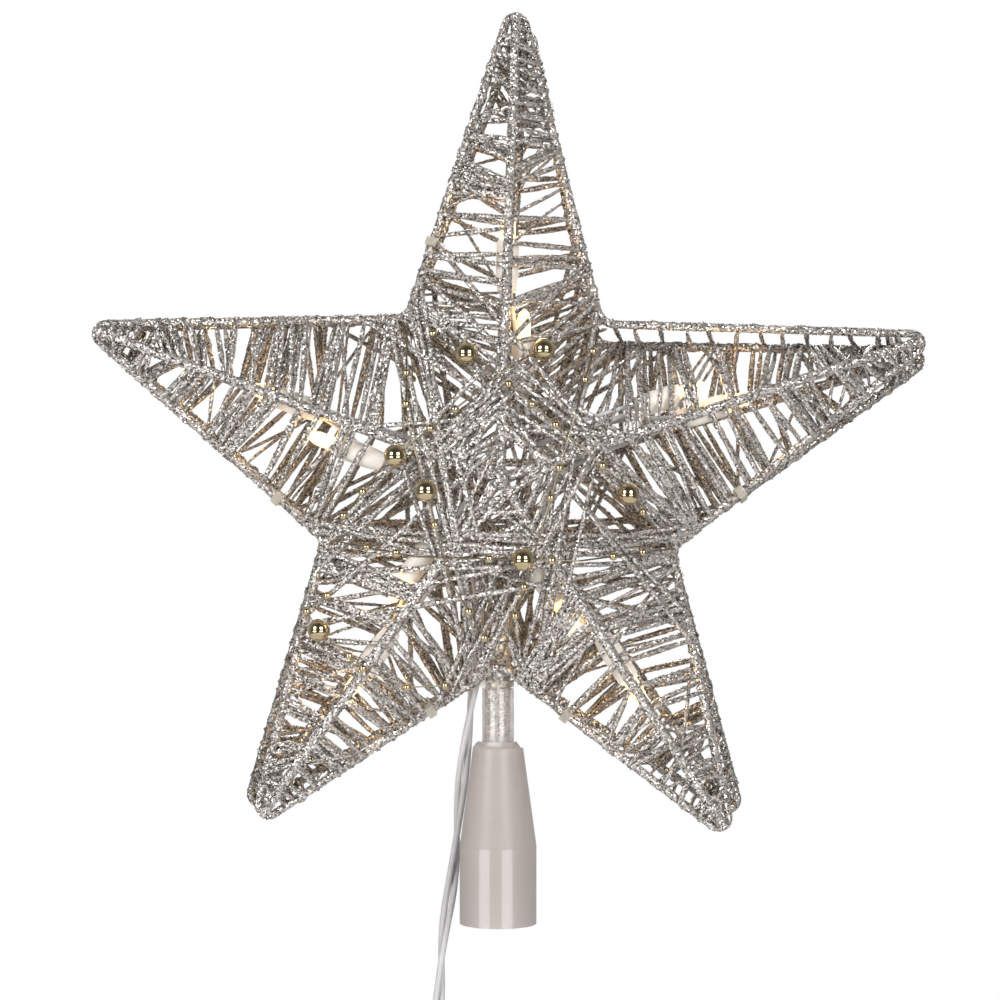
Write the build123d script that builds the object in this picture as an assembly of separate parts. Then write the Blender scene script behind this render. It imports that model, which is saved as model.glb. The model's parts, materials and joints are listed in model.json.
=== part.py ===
"""Christmas tree topper star: a glitter-yarn wire star with ten lamps on a push-on cone base.

Millimetres. X is to the right, Y points away from the viewer, Z is up.
The origin is the middle of the cone's mouth, and the star's own plane is Y = 0.
"""

import math
import os

from build123d import *

os.makedirs("parts", exist_ok=True)

# Star plan: reach of each arm to the outside of its tip, and its bearing in degrees from +X
ARMS = {
    "lower_left": (148.3, 234.7),
    "left": (155.4, 159.8),
    "top": (167.5, 88.0),
    "right": (160.2, 18.2),
    "lower_right": (149.5, 302.8),
}
# Notches between the arms: the neighbours on the counter-clockwise and clockwise side, and bearing
NOTCHES = {
    "bottom": ("lower_right", "lower_left", 270.0),
    "side_left": ("lower_left", "left", 199.0),
    "upper_left": ("left", "top", 120.0),
    "upper_right": ("top", "right", 57.0),
    "side_right": ("right", "lower_right", 338.0),
}
NOTCH_RADIUS = 66.0
STAR_X = 0.7
STAR_Z = 159.5
APEX_DEPTH = 32.0

# The back frame is bent by hand: how far each arm and notch turns (counter-clockwise) in degrees,
# and how much shorter some of its arms are
BACK_TURNS = {
    "lower_left": -2.0,
    "left": 0.0,
    "top": -1.2,
    "right": -2.0,
    "lower_right": 2.6,
    "side_left": -1.0,
    "upper_left": -0.6,
    "upper_right": -2.6,
    "side_right": 0.4,
    "bottom": 0.0,
}
BACK_SHORT = {"top": 4.0, "left": 2.0, "lower_right": 2.0}
# One notch of the back frame is bent further in, so both wires show along the right arm
BACK_INSET = {"upper_right": 6.5}

# Frame wire, yarn and the clearances between them
WIRE_D = 2.8
YARN_D = 2.0
YARN_GAP = 0.25
WRAP_SPARE = 1.1
SEAT_GAP = 0.1
TIP_BEND = 3.6
NOTCH_BEND = 7.0
HUB_D = 8.0

# Arm windings: loops, and where they run along an arm, measured from the star's middle
ARM_LOOPS = {"lower_left": 15, "left": 21, "top": 22, "right": 22, "lower_right": 18}
TIP_MARGIN = 24.0
EDGE_START = 60.0
RIDGE_START = 44.0
TIE_WINDOW = 7.0
# The lower arms' windings stop short of the stem and of the cord beside it
STEM_SIDE_STARTS = {"lower_left": 73.0, "lower_right": 68.0}

# Middle windings: a five-cornered spiral over the ridges of each face
MIDDLE_OUTER = 39.0
MIDDLE_PITCH = 3.15
MIDDLE_TURNS = 10
MIDDLE_LIFT = 0.55

# Bead garland
GARLAND_D = 0.6
SMALL_BEAD_D = 3.0
LARGE_BEAD_D = 8.0
BEAD_HOLE_GAP = 0.15
BEAD_SPACING = 10.8
CHORD_LEVEL_STEP = 1.15

# Stem and cone base
STEM_D = 9.0
STEM_TOP = 112.0
STEM_BOTTOM = 66.5
CONE_WALL = 1.4
NECK_WALL = 1.1
MOUTH_D = 27.6
SKIRT_TOP = 28.0
SHOULDER_D = 18.0
SHOULDER_Z = 65.5
NECK_TOP = 84.5
STEM_CLEARANCE = 0.08
LEDGE = 1.6

# Lamps: husk, push-in bulb and leads, placed by distance from the star's middle
HUSK_D = 8.0
HUSK_BACK_D = 6.4
HUSK_LENGTH = 18.0
BULB_BASE_D = 5.2
BULB_BASE_LENGTH = 6.0
BULB_FIT = 0.06
BULB_FLANGE_D = 6.6
BULB_FLANGE = 1.2
GLASS_D = 5.0
GLASS_LENGTH = 10.5
OUTER_HUSK_START = 66.0
# Inner lamps: where each husk starts, and how far it lies beside its ridge (counter-clockwise)
INNER_LAMPS = {
    "lower_left": (29.0, -6.5),
    "left": (40.0, 8.8),
    "top": (31.0, -6.5),
    "right": (51.0, 8.8),
    "lower_right": (29.0, -6.5),
}
HUSK_RIDGE_GAP = 0.3
INNER_DROP = 1.6
LEAD_D = 1.8
LEAD_SPACING = 2.8

# Cable ties
TIE_WIDTH = 2.4
TIE_THICK = 1.0
TIE_GAP = 0.25
TIE_HEAD = 3.8
TIE_HEAD_DEPTH = 3.0
# Where a tie holds the front and back outline: arm, side of the arm, distance from the middle
TIES = (
    ("top", "ccw", 88.0),
    ("left", "ccw", 75.0),
    ("right", "cw", 83.0),
    ("lower_right", "cw", 86.0),
    ("lower_left", "ccw", 86.0),
)

# Cord: a twisted pair, its hand-laid route to the coil, the coil and the fused plug
CORD_D = 4.2
CORD_ROUTE = (
    (-7.1, 0.0, 98.0),
    (-7.1, 0.0, 92.0),
    (-9.0, 0.6, 84.0),
    (-11.0, 4.0, 68.0),
    (-14.0, 9.0, 44.0),
    (-16.0, 10.5, 16.0),
    (-20.5, 10.5, -8.0),
    (-22.0, 10.5, -45.0),
    (-38.8, 10.5, -45.0),
)
CORD_TURN_RADIUS = 12.6
COIL_OUTER_R = 30.0
COIL_GAP = 1.4
COIL_TURNS_A_LAYER = 3
COIL_TAIL = 6.0
COIL_TIE_WIDTH = 4.0
COIL_TIE_GAP = 1.3
PLUG_WIDTH = 24.0
PLUG_DEPTH = 14.0
PLUG_LENGTH = 30.0
PLUG_ROUND = 3.0
RELIEF_LENGTH = 10.0
RELIEF_WALL = 1.6
BLADE_WIDTH = 6.3
BLADE_THICK = 1.5
BLADE_LENGTH = 16.0
BLADE_SPACING = 12.7
BLADE_ROOT = 8.0
FUSE_D = 3.6
FUSE_LENGTH = 10.0
FUSE_FIT = 0.2
DOOR_WIDTH = 11.0
DOOR_LENGTH = 14.0
DOOR_THICK = 1.4
DOOR_FIT = 0.08
DOOR_END = 4.0

# Worked-out values
WIRE_R = WIRE_D / 2
YARN_R = YARN_D / 2
WRAP_R = WIRE_R + YARN_R + YARN_GAP
STEM_R = STEM_D / 2
OUTLINE_DEPTH = STEM_R + WIRE_R + SEAT_GAP
TIP_DEPTH = OUTLINE_DEPTH + WIRE_D + SEAT_GAP
COIL_PITCH = CORD_D + COIL_GAP
CENTRE = Vector(STAR_X, 0, STAR_Z)
SIDES = {"front": -1, "back": 1}
STANDING = (Align.CENTER, Align.CENTER, Align.MIN)


def save(name, *solids):
    """Write one named node, of one or more separate solids."""
    shape = solids[0] if len(solids) == 1 else Compound(list(solids))
    export_step(shape, f"parts/{name}.step")


def bearing(name, side):
    """Bearing of an arm or notch in degrees: those of the back frame are slightly turned."""
    plain = ARMS[name][1] if name in ARMS else NOTCHES[name][2]
    return plain + (BACK_TURNS[name] if side == "back" else 0)


def reach(arm, side):
    """Distance from the star's middle to the outside of an arm's tip."""
    return ARMS[arm][0] - (BACK_SHORT.get(arm, 0) if side == "back" else 0)


def notch_radius(name, side):
    """Distance from the star's middle to a notch."""
    return NOTCH_RADIUS - (BACK_INSET.get(name, 0) if side == "back" else 0)


def plan(radius, degrees, depth, side):
    """Point in the star at a radius and bearing, at a depth in front of or behind its plane."""
    a = math.radians(degrees)
    return CENTRE + Vector(radius * math.cos(a), SIDES[side] * depth, radius * math.sin(a))


def arm_point(arm, along, across, depth, side="front"):
    """Point beside an arm's own line: along it, across it (counter-clockwise) and in depth."""
    a = math.radians(bearing(arm, side))
    x = along * math.cos(a) - across * math.sin(a)
    z = along * math.sin(a) + across * math.cos(a)
    return CENTRE + Vector(x, SIDES[side] * depth, z)


def unit(v):
    return v * (1 / v.length)


def turn_between(a, b, c):
    """Angle by which a path turns at b, in radians."""
    u, w = unit(b - a), unit(c - b)
    return math.acos(max(-1, min(1, u.dot(w))))


def rounded(points, radii):
    """Straight runs joined by tangent arcs, as a list of edges."""
    edges, start = [], points[0]
    for i in range(1, len(points) - 1):
        a, b, c = points[i - 1], points[i], points[i + 1]
        half = turn_between(a, b, c) / 2
        cut = radii[i - 1] * math.tan(half)
        enter, leave = b - unit(b - a) * cut, b + unit(c - b) * cut
        middle = b + unit((enter + leave) * 0.5 - b) * (radii[i - 1] / math.cos(half) - radii[i - 1])
        edges.append(Edge.make_line(start, enter))
        edges.append(Edge.make_three_point_arc(enter, middle, leave))
        start = leave
    edges.append(Edge.make_line(start, points[-1]))
    return edges


def tube(edges, diameter):
    """A round tube along a path of edges."""
    path = Wire(edges)
    section = Plane(origin=path @ 0, z_dir=path % 0) * Circle(diameter / 2)
    return sweep(section, path=path)


def rod(start, end, diameter):
    return tube([Edge.make_line(start, end)], diameter)


def self_gap(edges, diameter, step, skip):
    """Least gap of a tube to itself, measured on points a step apart, past a skipped stretch."""
    pts = []
    for e in edges:
        n = max(1, round(e.length / step))
        pts += [e @ (k / n) for k in range(n)]
    near = max(2, round(skip / step))
    cells, least = {}, 1e9
    for i, p in enumerate(pts):
        key = tuple(int(v // 8) for v in (p.X, p.Y, p.Z))
        cells.setdefault(key, []).append(i)
    for (a, b, c), ids in cells.items():
        around = [
            j
            for da in (0, 1, -1)
            for db in (0, 1, -1)
            for dc in (0, 1, -1)
            for j in cells.get((a + da, b + db, c + dc), ())
        ]
        for i in ids:
            for j in around:
                if j - i > near:
                    least = min(least, (pts[i] - pts[j]).length)
    return least - diameter


# Outline and ridge lines, which everything else is placed from


def ridge_depth(arm, along, side="front"):
    """Depth of a ridge wire's middle line at a distance along its arm."""
    end = reach(arm, side) - WIRE_D
    return APEX_DEPTH + (TIP_DEPTH - APEX_DEPTH) * along / end


def ridge_point(arm, along, side):
    return arm_point(arm, along, 0, ridge_depth(arm, along, side), side)


def arm_notches(arm):
    """Names of the notches on the counter-clockwise and clockwise side of an arm."""
    beside = {}
    for name, (ccw_arm, cw_arm, _) in NOTCHES.items():
        if arm == cw_arm:
            beside["ccw"] = name
        if arm == ccw_arm:
            beside["cw"] = name
    return beside


def notch_point(name, side):
    return plan(notch_radius(name, side), bearing(name, side), OUTLINE_DEPTH, side)


def tip_corner(arm, side):
    """Sharp corner of an outline whose rounded tip reaches the arm's length."""
    end = reach(arm, side) - WIRE_R
    tip = arm_point(arm, end, 0, OUTLINE_DEPTH, side)
    legs = [unit(notch_point(n, side) - tip) for n in arm_notches(arm).values()]
    half = math.acos(legs[0].dot(legs[1])) / 2
    return arm_point(arm, end + TIP_BEND * (1 / math.sin(half) - 1), 0, OUTLINE_DEPTH, side)


def edge_point(arm, leg, along, side):
    """Point of an outline's leg at a distance along its arm."""
    a = math.radians(bearing(arm, side))
    out = Vector(math.cos(a), 0, math.sin(a))
    tip, notch = tip_corner(arm, side), notch_point(arm_notches(arm)[leg], side)
    high, low = (tip - CENTRE).dot(out), (notch - CENTRE).dot(out)
    return tip + (notch - tip) * ((high - along) / (high - low))


def outline(side):
    """One closed star of bent wire, begun in the middle of a straight leg."""
    corners, radii = [], []
    for arm in ARMS:
        corners.append(tip_corner(arm, side))
        radii.append(TIP_BEND)
        corners.append(notch_point(arm_notches(arm)["cw"], side))
        radii.append(NOTCH_BEND)
    seam = (corners[0] + corners[-1]) * 0.5
    return tube(rounded([seam] + corners + [seam], radii), WIRE_D)


for face in SIDES:
    save(f"{face}_outline", outline(face))
    hub = CENTRE + Vector(0, SIDES[face] * APEX_DEPTH, 0)
    save(f"{face}_hub", Pos(hub) * Sphere(HUB_D / 2))
    for arm in ARMS:
        end = ridge_point(arm, reach(arm, face) - WIRE_D, face)
        start = hub + unit(end - hub) * (HUB_D / 2 + SEAT_GAP / 2)
        save(f"{face}_ridge_{arm}", rod(start, end, WIRE_D))


# Yarn windings


STATIONS = (
    ("ridge", "front"),
    ("cw", "front"),
    ("cw", "back"),
    ("ridge", "back"),
    ("ccw", "back"),
    ("ccw", "front"),
)


def wrap(corners, axes):
    """Corner points of a taut yarn round wire points, pushed out so its bends clear the wires."""
    points = []
    for a, b, c, axis in zip(corners, corners[1:], corners[2:], axes[1:]):
        u, w = unit(a - b), unit(c - b)
        half = math.acos(max(-1, min(1, u.dot(w)))) / 2
        out = unit(u + w) * -1
        lean = math.sqrt(1 - out.dot(axis) ** 2)
        points.append(b + out * (WRAP_R / math.sin(half) + WRAP_R * (WRAP_SPARE / lean - 1)))
    return points


def winding_start(arm):
    return ARMS[arm][0] - TIP_MARGIN


def winding_pitch(arm, wire):
    """Step from loop to loop along one of an arm's wires."""
    root = RIDGE_START
    if wire != "ridge":
        root = STEM_SIDE_STARTS[arm] if arm_notches(arm)[wire] == "bottom" else EDGE_START
    return (winding_start(arm) - root - TIE_WINDOW) / ARM_LOOPS[arm]


def tie_turn(arm):
    """The turn of an arm's winding that leaves a window for its tie, and the tie's leg."""
    leg, wanted = next((t[1], t[2]) for t in TIES if t[0] == arm)
    return round((winding_start(arm) - wanted) / winding_pitch(arm, leg)), leg


def tie_place(arm):
    """Distance along the arm of the middle of the window that its winding leaves."""
    jump, leg = tie_turn(arm)
    share = sum(i for i, (wire, _) in enumerate(STATIONS) if wire == leg) / 2 / len(STATIONS)
    return winding_start(arm) - winding_pitch(arm, leg) * (jump - 0.5 + share) - TIE_WINDOW / 2


def arm_winding(arm):
    """One yarn round the six wires of an arm, wound from the tip to the arm's root."""
    jump, _ = tie_turn(arm)
    corners, axes = [], []
    for step in range(ARM_LOOPS[arm] * 6 + 2):
        wire, side = STATIONS[step % 6]
        turn = step / 6
        along = winding_start(arm) - winding_pitch(arm, wire) * turn
        if turn >= jump:
            along -= TIE_WINDOW
        if wire == "ridge":
            corners.append(ridge_point(arm, along, side))
            axes.append(unit(ridge_point(arm, along + 1, side) - corners[-1]))
        else:
            corners.append(edge_point(arm, wire, along, side))
            axes.append(unit(edge_point(arm, wire, along + 1, side) - corners[-1]))
    points = wrap(corners, axes)
    return rounded(points, [WRAP_R] * (len(points) - 2))


def middle_winding(side):
    """A five-cornered spiral of yarn that rests on the five ridges of a face."""
    order = list(ARMS)
    points, count = [], MIDDLE_TURNS * 5 + 1
    for step in range(count):
        arm = order[step % 5]
        along = MIDDLE_OUTER - MIDDLE_PITCH * step / 5
        depth = ridge_depth(arm, along, side) + WRAP_R + MIDDLE_LIFT
        points.append(arm_point(arm, along, 0, depth, side))
    return rounded(points, [YARN_D] * (len(points) - 2))


for arm in ARMS:
    path = arm_winding(arm)
    save(f"winding_{arm}", tube(path, YARN_D))
    print(f"winding_{arm}: least gap to itself {self_gap(path, YARN_D, 0.8, 14):.2f} mm")
for face in SIDES:
    path = middle_winding(face)
    save(f"{face}_middle_winding", tube(path, YARN_D))
    print(f"{face}_middle_winding: least gap to itself {self_gap(path, YARN_D, 0.8, 14):.2f} mm")


# Bead garlands: a thin wire on each face, from notch to notch but one, with beads strung on it

STAR_ORDER = ("upper_left", "side_right", "side_left", "upper_right", "bottom")
# Large beads on each stretch, as shares of it, counted from the notch that it starts at
LARGE_BEADS = {
    "upper_left": (0.2, 0.8),
    "side_right": (0.43,),
    "side_left": (0.31, 0.82),
    "upper_right": (),
    "bottom": (0.52,),
}
# How far each stretch bows to the left of its run where it rests on the middle winding
BOWS = {"upper_left": 5.2, "side_right": 4.7, "side_left": 7.0, "upper_right": 0.0, "bottom": 8.8}
CHORD_LEVELS = {"upper_left": 0, "side_left": 1, "upper_right": 2, "bottom": 3, "side_right": 4}
GARLAND_CLEAR = 0.45
OVER_WINDING = WRAP_R + MIDDLE_LIFT + YARN_R + SMALL_BEAD_D / 2 + GARLAND_CLEAR
GARLAND_BASE = ridge_depth("left", 25) + OVER_WINDING
GARLAND_EDGE = ridge_depth("left", MIDDLE_OUTER) + OVER_WINDING
NOTCH_REST = OUTLINE_DEPTH + WIRE_R + GARLAND_D / 2 + SEAT_GAP
EDGE_SHARE = 0.27
RIDGE_SHARE = 0.385
RESTS = (0, EDGE_SHARE, RIDGE_SHARE, 1 - RIDGE_SHARE, 1 - EDGE_SHARE, 1)
CROSSING_CLEAR = 1.3 * SMALL_BEAD_D
BEADS_APART = (LARGE_BEAD_D + SMALL_BEAD_D) / 2 + 1
# The last stretch stops short of the notch where the wire began
GARLAND_END = 0.94


def garland_chord(start, end, side):
    """Points of one stretch: up from a notch, over the middle winding, and down to a notch."""
    rise = CHORD_LEVELS[start] * CHORD_LEVEL_STEP
    depths = (NOTCH_REST, GARLAND_EDGE + rise, GARLAND_BASE + rise)
    a = plan(notch_radius(start, side), bearing(start, side), 0, side)
    b = plan(notch_radius(end, side), bearing(end, side), 0, side)
    run = unit(b - a)
    bow = Vector(-run.Z, 0, run.X) * BOWS[start]
    points = []
    for share, depth in zip(RESTS, depths + depths[::-1]):
        aside = bow if 0 < share < 1 else Vector(0, 0, 0)
        points.append(a + (b - a) * share + aside + Vector(0, SIDES[side] * depth, 0))
    return points


def on_chord(chord, share):
    """Point at a share of a stretch, and the wire's direction there."""
    for s, t, p, q in zip(RESTS, RESTS[1:], chord, chord[1:]):
        if share <= t:
            return p + (q - p) * ((share - s) / (t - s)), unit(q - p)


def chord_crossings(chord, others):
    """Shares of a stretch at which other stretches cross it in plan."""
    shares = []
    for s, t, p, q in zip(RESTS, RESTS[1:], chord, chord[1:]):
        for other in others:
            for a, b in zip(other, other[1:]):
                u, v, w = q - p, b - a, a - p
                under = u.X * v.Z - u.Z * v.X
                on_this = (w.X * v.Z - w.Z * v.X) / under
                on_other = (w.X * u.Z - w.Z * u.X) / under
                if 0 <= on_this <= 1 and 0 <= on_other <= 1:
                    shares.append(s + (t - s) * on_this)
    return shares


def garland(side):
    """The garland's wire, and the places of its small and large beads with their directions."""
    route, small, large = [], [], []
    chords = {}
    for i, start in enumerate(STAR_ORDER):
        chords[start] = garland_chord(start, STAR_ORDER[(i + 1) % 5], side)
    for start, chord in chords.items():
        route += chord[:-1] if start != STAR_ORDER[-1] else chord
        length = (chord[-1] - chord[0]).length
        others = [c for c in chords.values() if c is not chord]
        kept_clear = chord_crossings(chord, others) + list(RESTS[1:-1])
        large += [on_chord(chord, share) for share in LARGE_BEADS[start]]
        for k in range(1, int(length / BEAD_SPACING)):
            share = k * BEAD_SPACING / length
            clear = all(abs(share - c) * length > CROSSING_CLEAR for c in kept_clear)
            if clear and all(abs(share - c) * length > BEADS_APART for c in LARGE_BEADS[start]):
                small.append(on_chord(chord, share))
    return route, small, large


def bead(place, diameter):
    """A ball with a hole for the wire, at a point and along a direction."""
    point, along = place
    hole = GARLAND_D + 2 * BEAD_HOLE_GAP
    body = Sphere(diameter / 2) - Cylinder(hole / 2, diameter + 1)
    return Plane(origin=point, z_dir=along) * body


small_beads, large_beads = [], []
for face in SIDES:
    route, small, large = garland(face)
    radii = [GARLAND_D * 2] * (len(route) - 2)
    route[-1] = route[-2] + (route[-1] - route[-2]) * GARLAND_END
    save(f"{face}_garland_wire", tube(rounded(route, radii), GARLAND_D))
    small_beads += [bead(p, SMALL_BEAD_D) for p in small]
    large_beads += [bead(p, LARGE_BEAD_D) for p in large]
save("small_beads", *small_beads)
save("large_beads", *large_beads)


# Stem and cone base


def cone_base():
    """Frosted push-on cone with a neck that the stem turns in."""
    neck_r = STEM_R + STEM_CLEARANCE
    mouth_r = MOUTH_D / 2
    shoulder_r = SHOULDER_D / 2
    outer = [
        (0, 0),
        (mouth_r, 0),
        (mouth_r, SKIRT_TOP),
        (shoulder_r, SHOULDER_Z - shoulder_r * 0.25),
        (shoulder_r * 0.8, SHOULDER_Z),
        (neck_r + NECK_WALL, SHOULDER_Z),
        (neck_r + NECK_WALL, NECK_TOP),
        (0, NECK_TOP),
    ]
    ceiling = STEM_BOTTOM - LEDGE - CONE_WALL
    inner = [
        (0, 0),
        (mouth_r - CONE_WALL, 0),
        (mouth_r - CONE_WALL, SKIRT_TOP),
        (shoulder_r - CONE_WALL, ceiling),
        (0, ceiling),
    ]
    shell = revolve(Plane.XZ * make_face(Polyline(*outer, close=True)), Axis.Z)
    space = revolve(Plane.XZ * make_face(Polyline(*inner, close=True)), Axis.Z)
    seat_z = STEM_BOTTOM - SEAT_GAP
    socket = Pos(0, 0, seat_z) * Cylinder(neck_r, NECK_TOP - seat_z + 1, align=STANDING)
    return shell - space - socket


def stem():
    """Round glitter stem that stands up between the two outlines."""
    return Pos(0, 0, STEM_BOTTOM) * Cylinder(STEM_R, STEM_TOP - STEM_BOTTOM, align=STANDING)


save("cone_base", cone_base())
save("stem", stem())


# Lamps


def lamp_frame(arm, place):
    """Plane at the back of a husk, with its Z along the lamp and its X across the arm."""
    start, across = (OUTER_HUSK_START, 0) if place == "outer" else INNER_LAMPS[arm]
    drop = WIRE_R + HUSK_RIDGE_GAP + HUSK_D / 2 + (0 if place == "outer" else INNER_DROP)
    a = arm_point(arm, start, across, ridge_depth(arm, start) - drop)
    b = arm_point(arm, start + HUSK_LENGTH, across, ridge_depth(arm, start + HUSK_LENGTH) - drop)
    over = arm_point(arm, start, across + 1, ridge_depth(arm, start) - drop) - a
    return Plane(origin=a, x_dir=over, z_dir=b - a)


def husk():
    """Lamp husk: a tapered sleeve with a blind bore for the bulb's base."""
    low, up = HUSK_BACK_D / 2, HUSK_D / 2
    profile = [(0, 0), (low, 0), (up, HUSK_LENGTH * 0.35), (up, HUSK_LENGTH), (0, HUSK_LENGTH)]
    body = revolve(Plane.XZ * make_face(Polyline(*profile, close=True)), Axis.Z)
    bore_r = BULB_BASE_D / 2 + BULB_FIT
    depth = BULB_BASE_LENGTH + SEAT_GAP
    return body - Pos(0, 0, HUSK_LENGTH - depth) * Cylinder(bore_r, depth, align=STANDING)


def bulb():
    """Push-in bulb: base, flange and a glass that ends in a point."""
    z = HUSK_LENGTH
    glass = GLASS_D / 2
    profile = [
        (0, z - BULB_BASE_LENGTH),
        (BULB_BASE_D / 2, z - BULB_BASE_LENGTH),
        (BULB_BASE_D / 2, z),
        (BULB_FLANGE_D / 2, z),
        (BULB_FLANGE_D / 2, z + BULB_FLANGE),
        (glass, z + BULB_FLANGE),
        (glass, z + BULB_FLANGE + GLASS_LENGTH * 0.6),
        (glass * 0.7, z + BULB_FLANGE + GLASS_LENGTH * 0.85),
        (0, z + BULB_FLANGE + GLASS_LENGTH),
    ]
    return revolve(Plane.XZ * make_face(Polyline(*profile, close=True)), Axis.Z)


for arm in ARMS:
    for place in ("outer", "inner"):
        frame = lamp_frame(arm, place)
        save(f"husk_{arm}_{place}", frame * husk())
        save(f"bulb_{arm}_{place}", frame * bulb())


# Leads from husk to husk, and the two feeds to the cord


def back_of(arm, place, hand):
    """Where a lead enters the back of a husk: hand is +1 counter-clockwise, -1 clockwise."""
    frame = lamp_frame(arm, place)
    return frame.origin + frame.x_dir * (hand * LEAD_SPACING / 2) - frame.z_dir * SEAT_GAP, frame.z_dir


def lead(points):
    """A lead through the points, with bends as wide as its runs leave room for."""
    radii = []
    for a, b, c in zip(points, points[1:], points[2:]):
        half = turn_between(a, b, c) / 2
        room = 0.45 * min((b - a).length, (c - b).length) / math.tan(half)
        radii.append(min(room, 4 * LEAD_D))
    print(f"lead: bend radii {', '.join(f'{r:.1f}' for r in radii)} mm")
    return tube(rounded(points, radii), LEAD_D)


order = list(ARMS)
leads = []
LEAD_STUB = 3.0
LINK_DEPTH = 9.5
LINK_TURN = 13.0
MEET = 21.0
OUTER_RUN = 12.0
CROSS_OVER = 19.0
CROSS_SIDE = 3.2
CROSS_DEPTH = 18.0
for arm in order:
    inner_start, sidestep = INNER_LAMPS[arm]
    hand = math.copysign(1, sidestep)
    start, away = back_of(arm, "outer", hand)
    stop, home = back_of(arm, "inner", -hand)
    side = sidestep - hand * LEAD_SPACING / 2
    bottom = [
        start,
        start - away * LEAD_STUB,
        arm_point(arm, OUTER_HUSK_START - 18, side, LINK_DEPTH),
        arm_point(arm, LINK_TURN, side, LINK_DEPTH),
        stop - home * (inner_start - LINK_TURN),
        stop,
    ]
    leads.append(lead(bottom))
for arm, following in zip(order, order[1:]):
    # Inner lamps that face each other are joined at once, and otherwise the outer ones by way of the middle
    place = "inner" if INNER_LAMPS[arm][1] < INNER_LAMPS[following][1] else "outer"
    start, away = back_of(arm, place, -1)
    stop, home = back_of(following, place, 1)
    if place == "inner":
        points = [start - away * (INNER_LAMPS[arm][0] - MEET), stop - home * (INNER_LAMPS[following][0] - MEET)]
    else:
        points = [
            start - away * OUTER_RUN,
            arm_point(arm, CROSS_OVER, -CROSS_SIDE, CROSS_DEPTH),
            arm_point(following, CROSS_OVER, CROSS_SIDE, CROSS_DEPTH),
            stop - home * OUTER_RUN,
        ]
    leads.append(lead([start, *points, stop]))

feed_top = Vector(*CORD_ROUTE[0])
first_in, first_home = back_of(order[0], "outer", 1)
leads.append(
    lead(
        [
            feed_top + Vector(-LEAD_SPACING * 0.375, 0, 0),
            feed_top + Vector(-LEAD_SPACING * 0.375, 0, 6),
            arm_point(order[0], 35, 14.5, 8),
            arm_point(order[0], 30, 4.5, 13),
            first_in - first_home * 12,
            first_in,
        ]
    )
)
last_out, last_away = back_of(order[-1], "inner", -1)
leads.append(
    lead(
        [
            feed_top + Vector(LEAD_SPACING * 0.375, 0, 0),
            feed_top + Vector(LEAD_SPACING * 0.375, 0, 6),
            CENTRE + Vector(-6.5, -16, -26),
            CENTRE + Vector(1.5, -20, -17),
            last_out - last_away * 7,
            last_out,
        ]
    )
)
save("lamp_leads", *leads)


# Cable ties


def belt(points, inner, thick, width, plane):
    """A band round two round things, drawn in a plane and extruded by its width."""
    (x1, y1), (x2, y2) = points
    rings = []
    for r in (inner + thick, inner):
        ends = Pos(x1, y1) * Circle(r) + Pos(x2, y2) * Circle(r)
        gap = math.hypot(x2 - x1, y2 - y1)
        angle = math.degrees(math.atan2(y2 - y1, x2 - x1))
        ends += Pos((x1 + x2) / 2, (y1 + y2) / 2) * Rot(0, 0, angle) * Rectangle(gap, 2 * r)
        rings.append(ends)
    return plane * extrude(rings[0] - rings[1], width / 2, both=True)


def edge_tie(arm, leg, along):
    """A tie round the front and the back outline of one leg, with its head in front."""
    front = edge_point(arm, leg, along, "front")
    run = unit(tip_corner(arm, "front") - front)
    across = unit(run.cross(Vector(0, 1, 0)))
    b1 = edge_point(arm, leg, along, "back")
    b2 = edge_point(arm, leg, along - 10, "back")
    step = unit(b2 - b1)
    back = b1 - step * ((b1 - front).dot(run) / step.dot(run))
    plane = Plane(origin=front, x_dir=across, z_dir=run)
    place = plane.to_local_coords(back)
    band = belt([(0, 0), (place.X, place.Y)], WIRE_R + TIE_GAP, TIE_THICK, TIE_WIDTH, plane)
    up = unit(Vector(place.X, place.Y, 0)) * -1
    head_at = up * (WIRE_R + TIE_GAP + TIE_THICK / 2 + TIE_HEAD_DEPTH / 2)
    angle = math.degrees(math.atan2(up.Y, up.X))
    block = Rot(0, 0, angle) * Box(TIE_HEAD_DEPTH, TIE_HEAD, TIE_WIDTH + 0.6)
    return band + plane * Pos(head_at.X, head_at.Y, 0) * block


save("cable_ties", *[edge_tie(arm, leg, tie_place(arm)) for arm, leg, _ in TIES])

STEM_TIE_Z = 86.2
CORD_LEAN = 0.4
STEM_TIE_HEAD_X = -2.2
stem_tie_plane = Plane(origin=(0, 0, STEM_TIE_Z), x_dir=(1, 0, 0), z_dir=(0, 0, 1))


def stem_tie():
    """A tie round the stem and the cord just above the cone's neck, with its head in front."""
    above, below = Vector(*CORD_ROUTE[1]), Vector(*CORD_ROUTE[2])
    cord = above + (below - above) * ((above.Z - STEM_TIE_Z) / (above.Z - below.Z))
    rings = []
    for grow in (TIE_GAP + TIE_THICK, TIE_GAP):
        held = Circle(STEM_R + grow).edges()
        held += (Pos(cord.X, cord.Y) * Circle(CORD_D / 2 + CORD_LEAN + grow)).edges()
        rings.append(make_hull(held))
    band = extrude(rings[0] - rings[1], TIE_WIDTH / 2, both=True)
    front = STEM_R + TIE_GAP + SEAT_GAP / 2 + TIE_HEAD_DEPTH / 2
    head = Pos(STEM_TIE_HEAD_X, -front, 0) * Box(TIE_HEAD, TIE_HEAD_DEPTH, TIE_WIDTH + 0.2)
    return stem_tie_plane * (band + head)


save("stem_tie", stem_tie())


# Cord, its coil, the coil's tie and the plug


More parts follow.
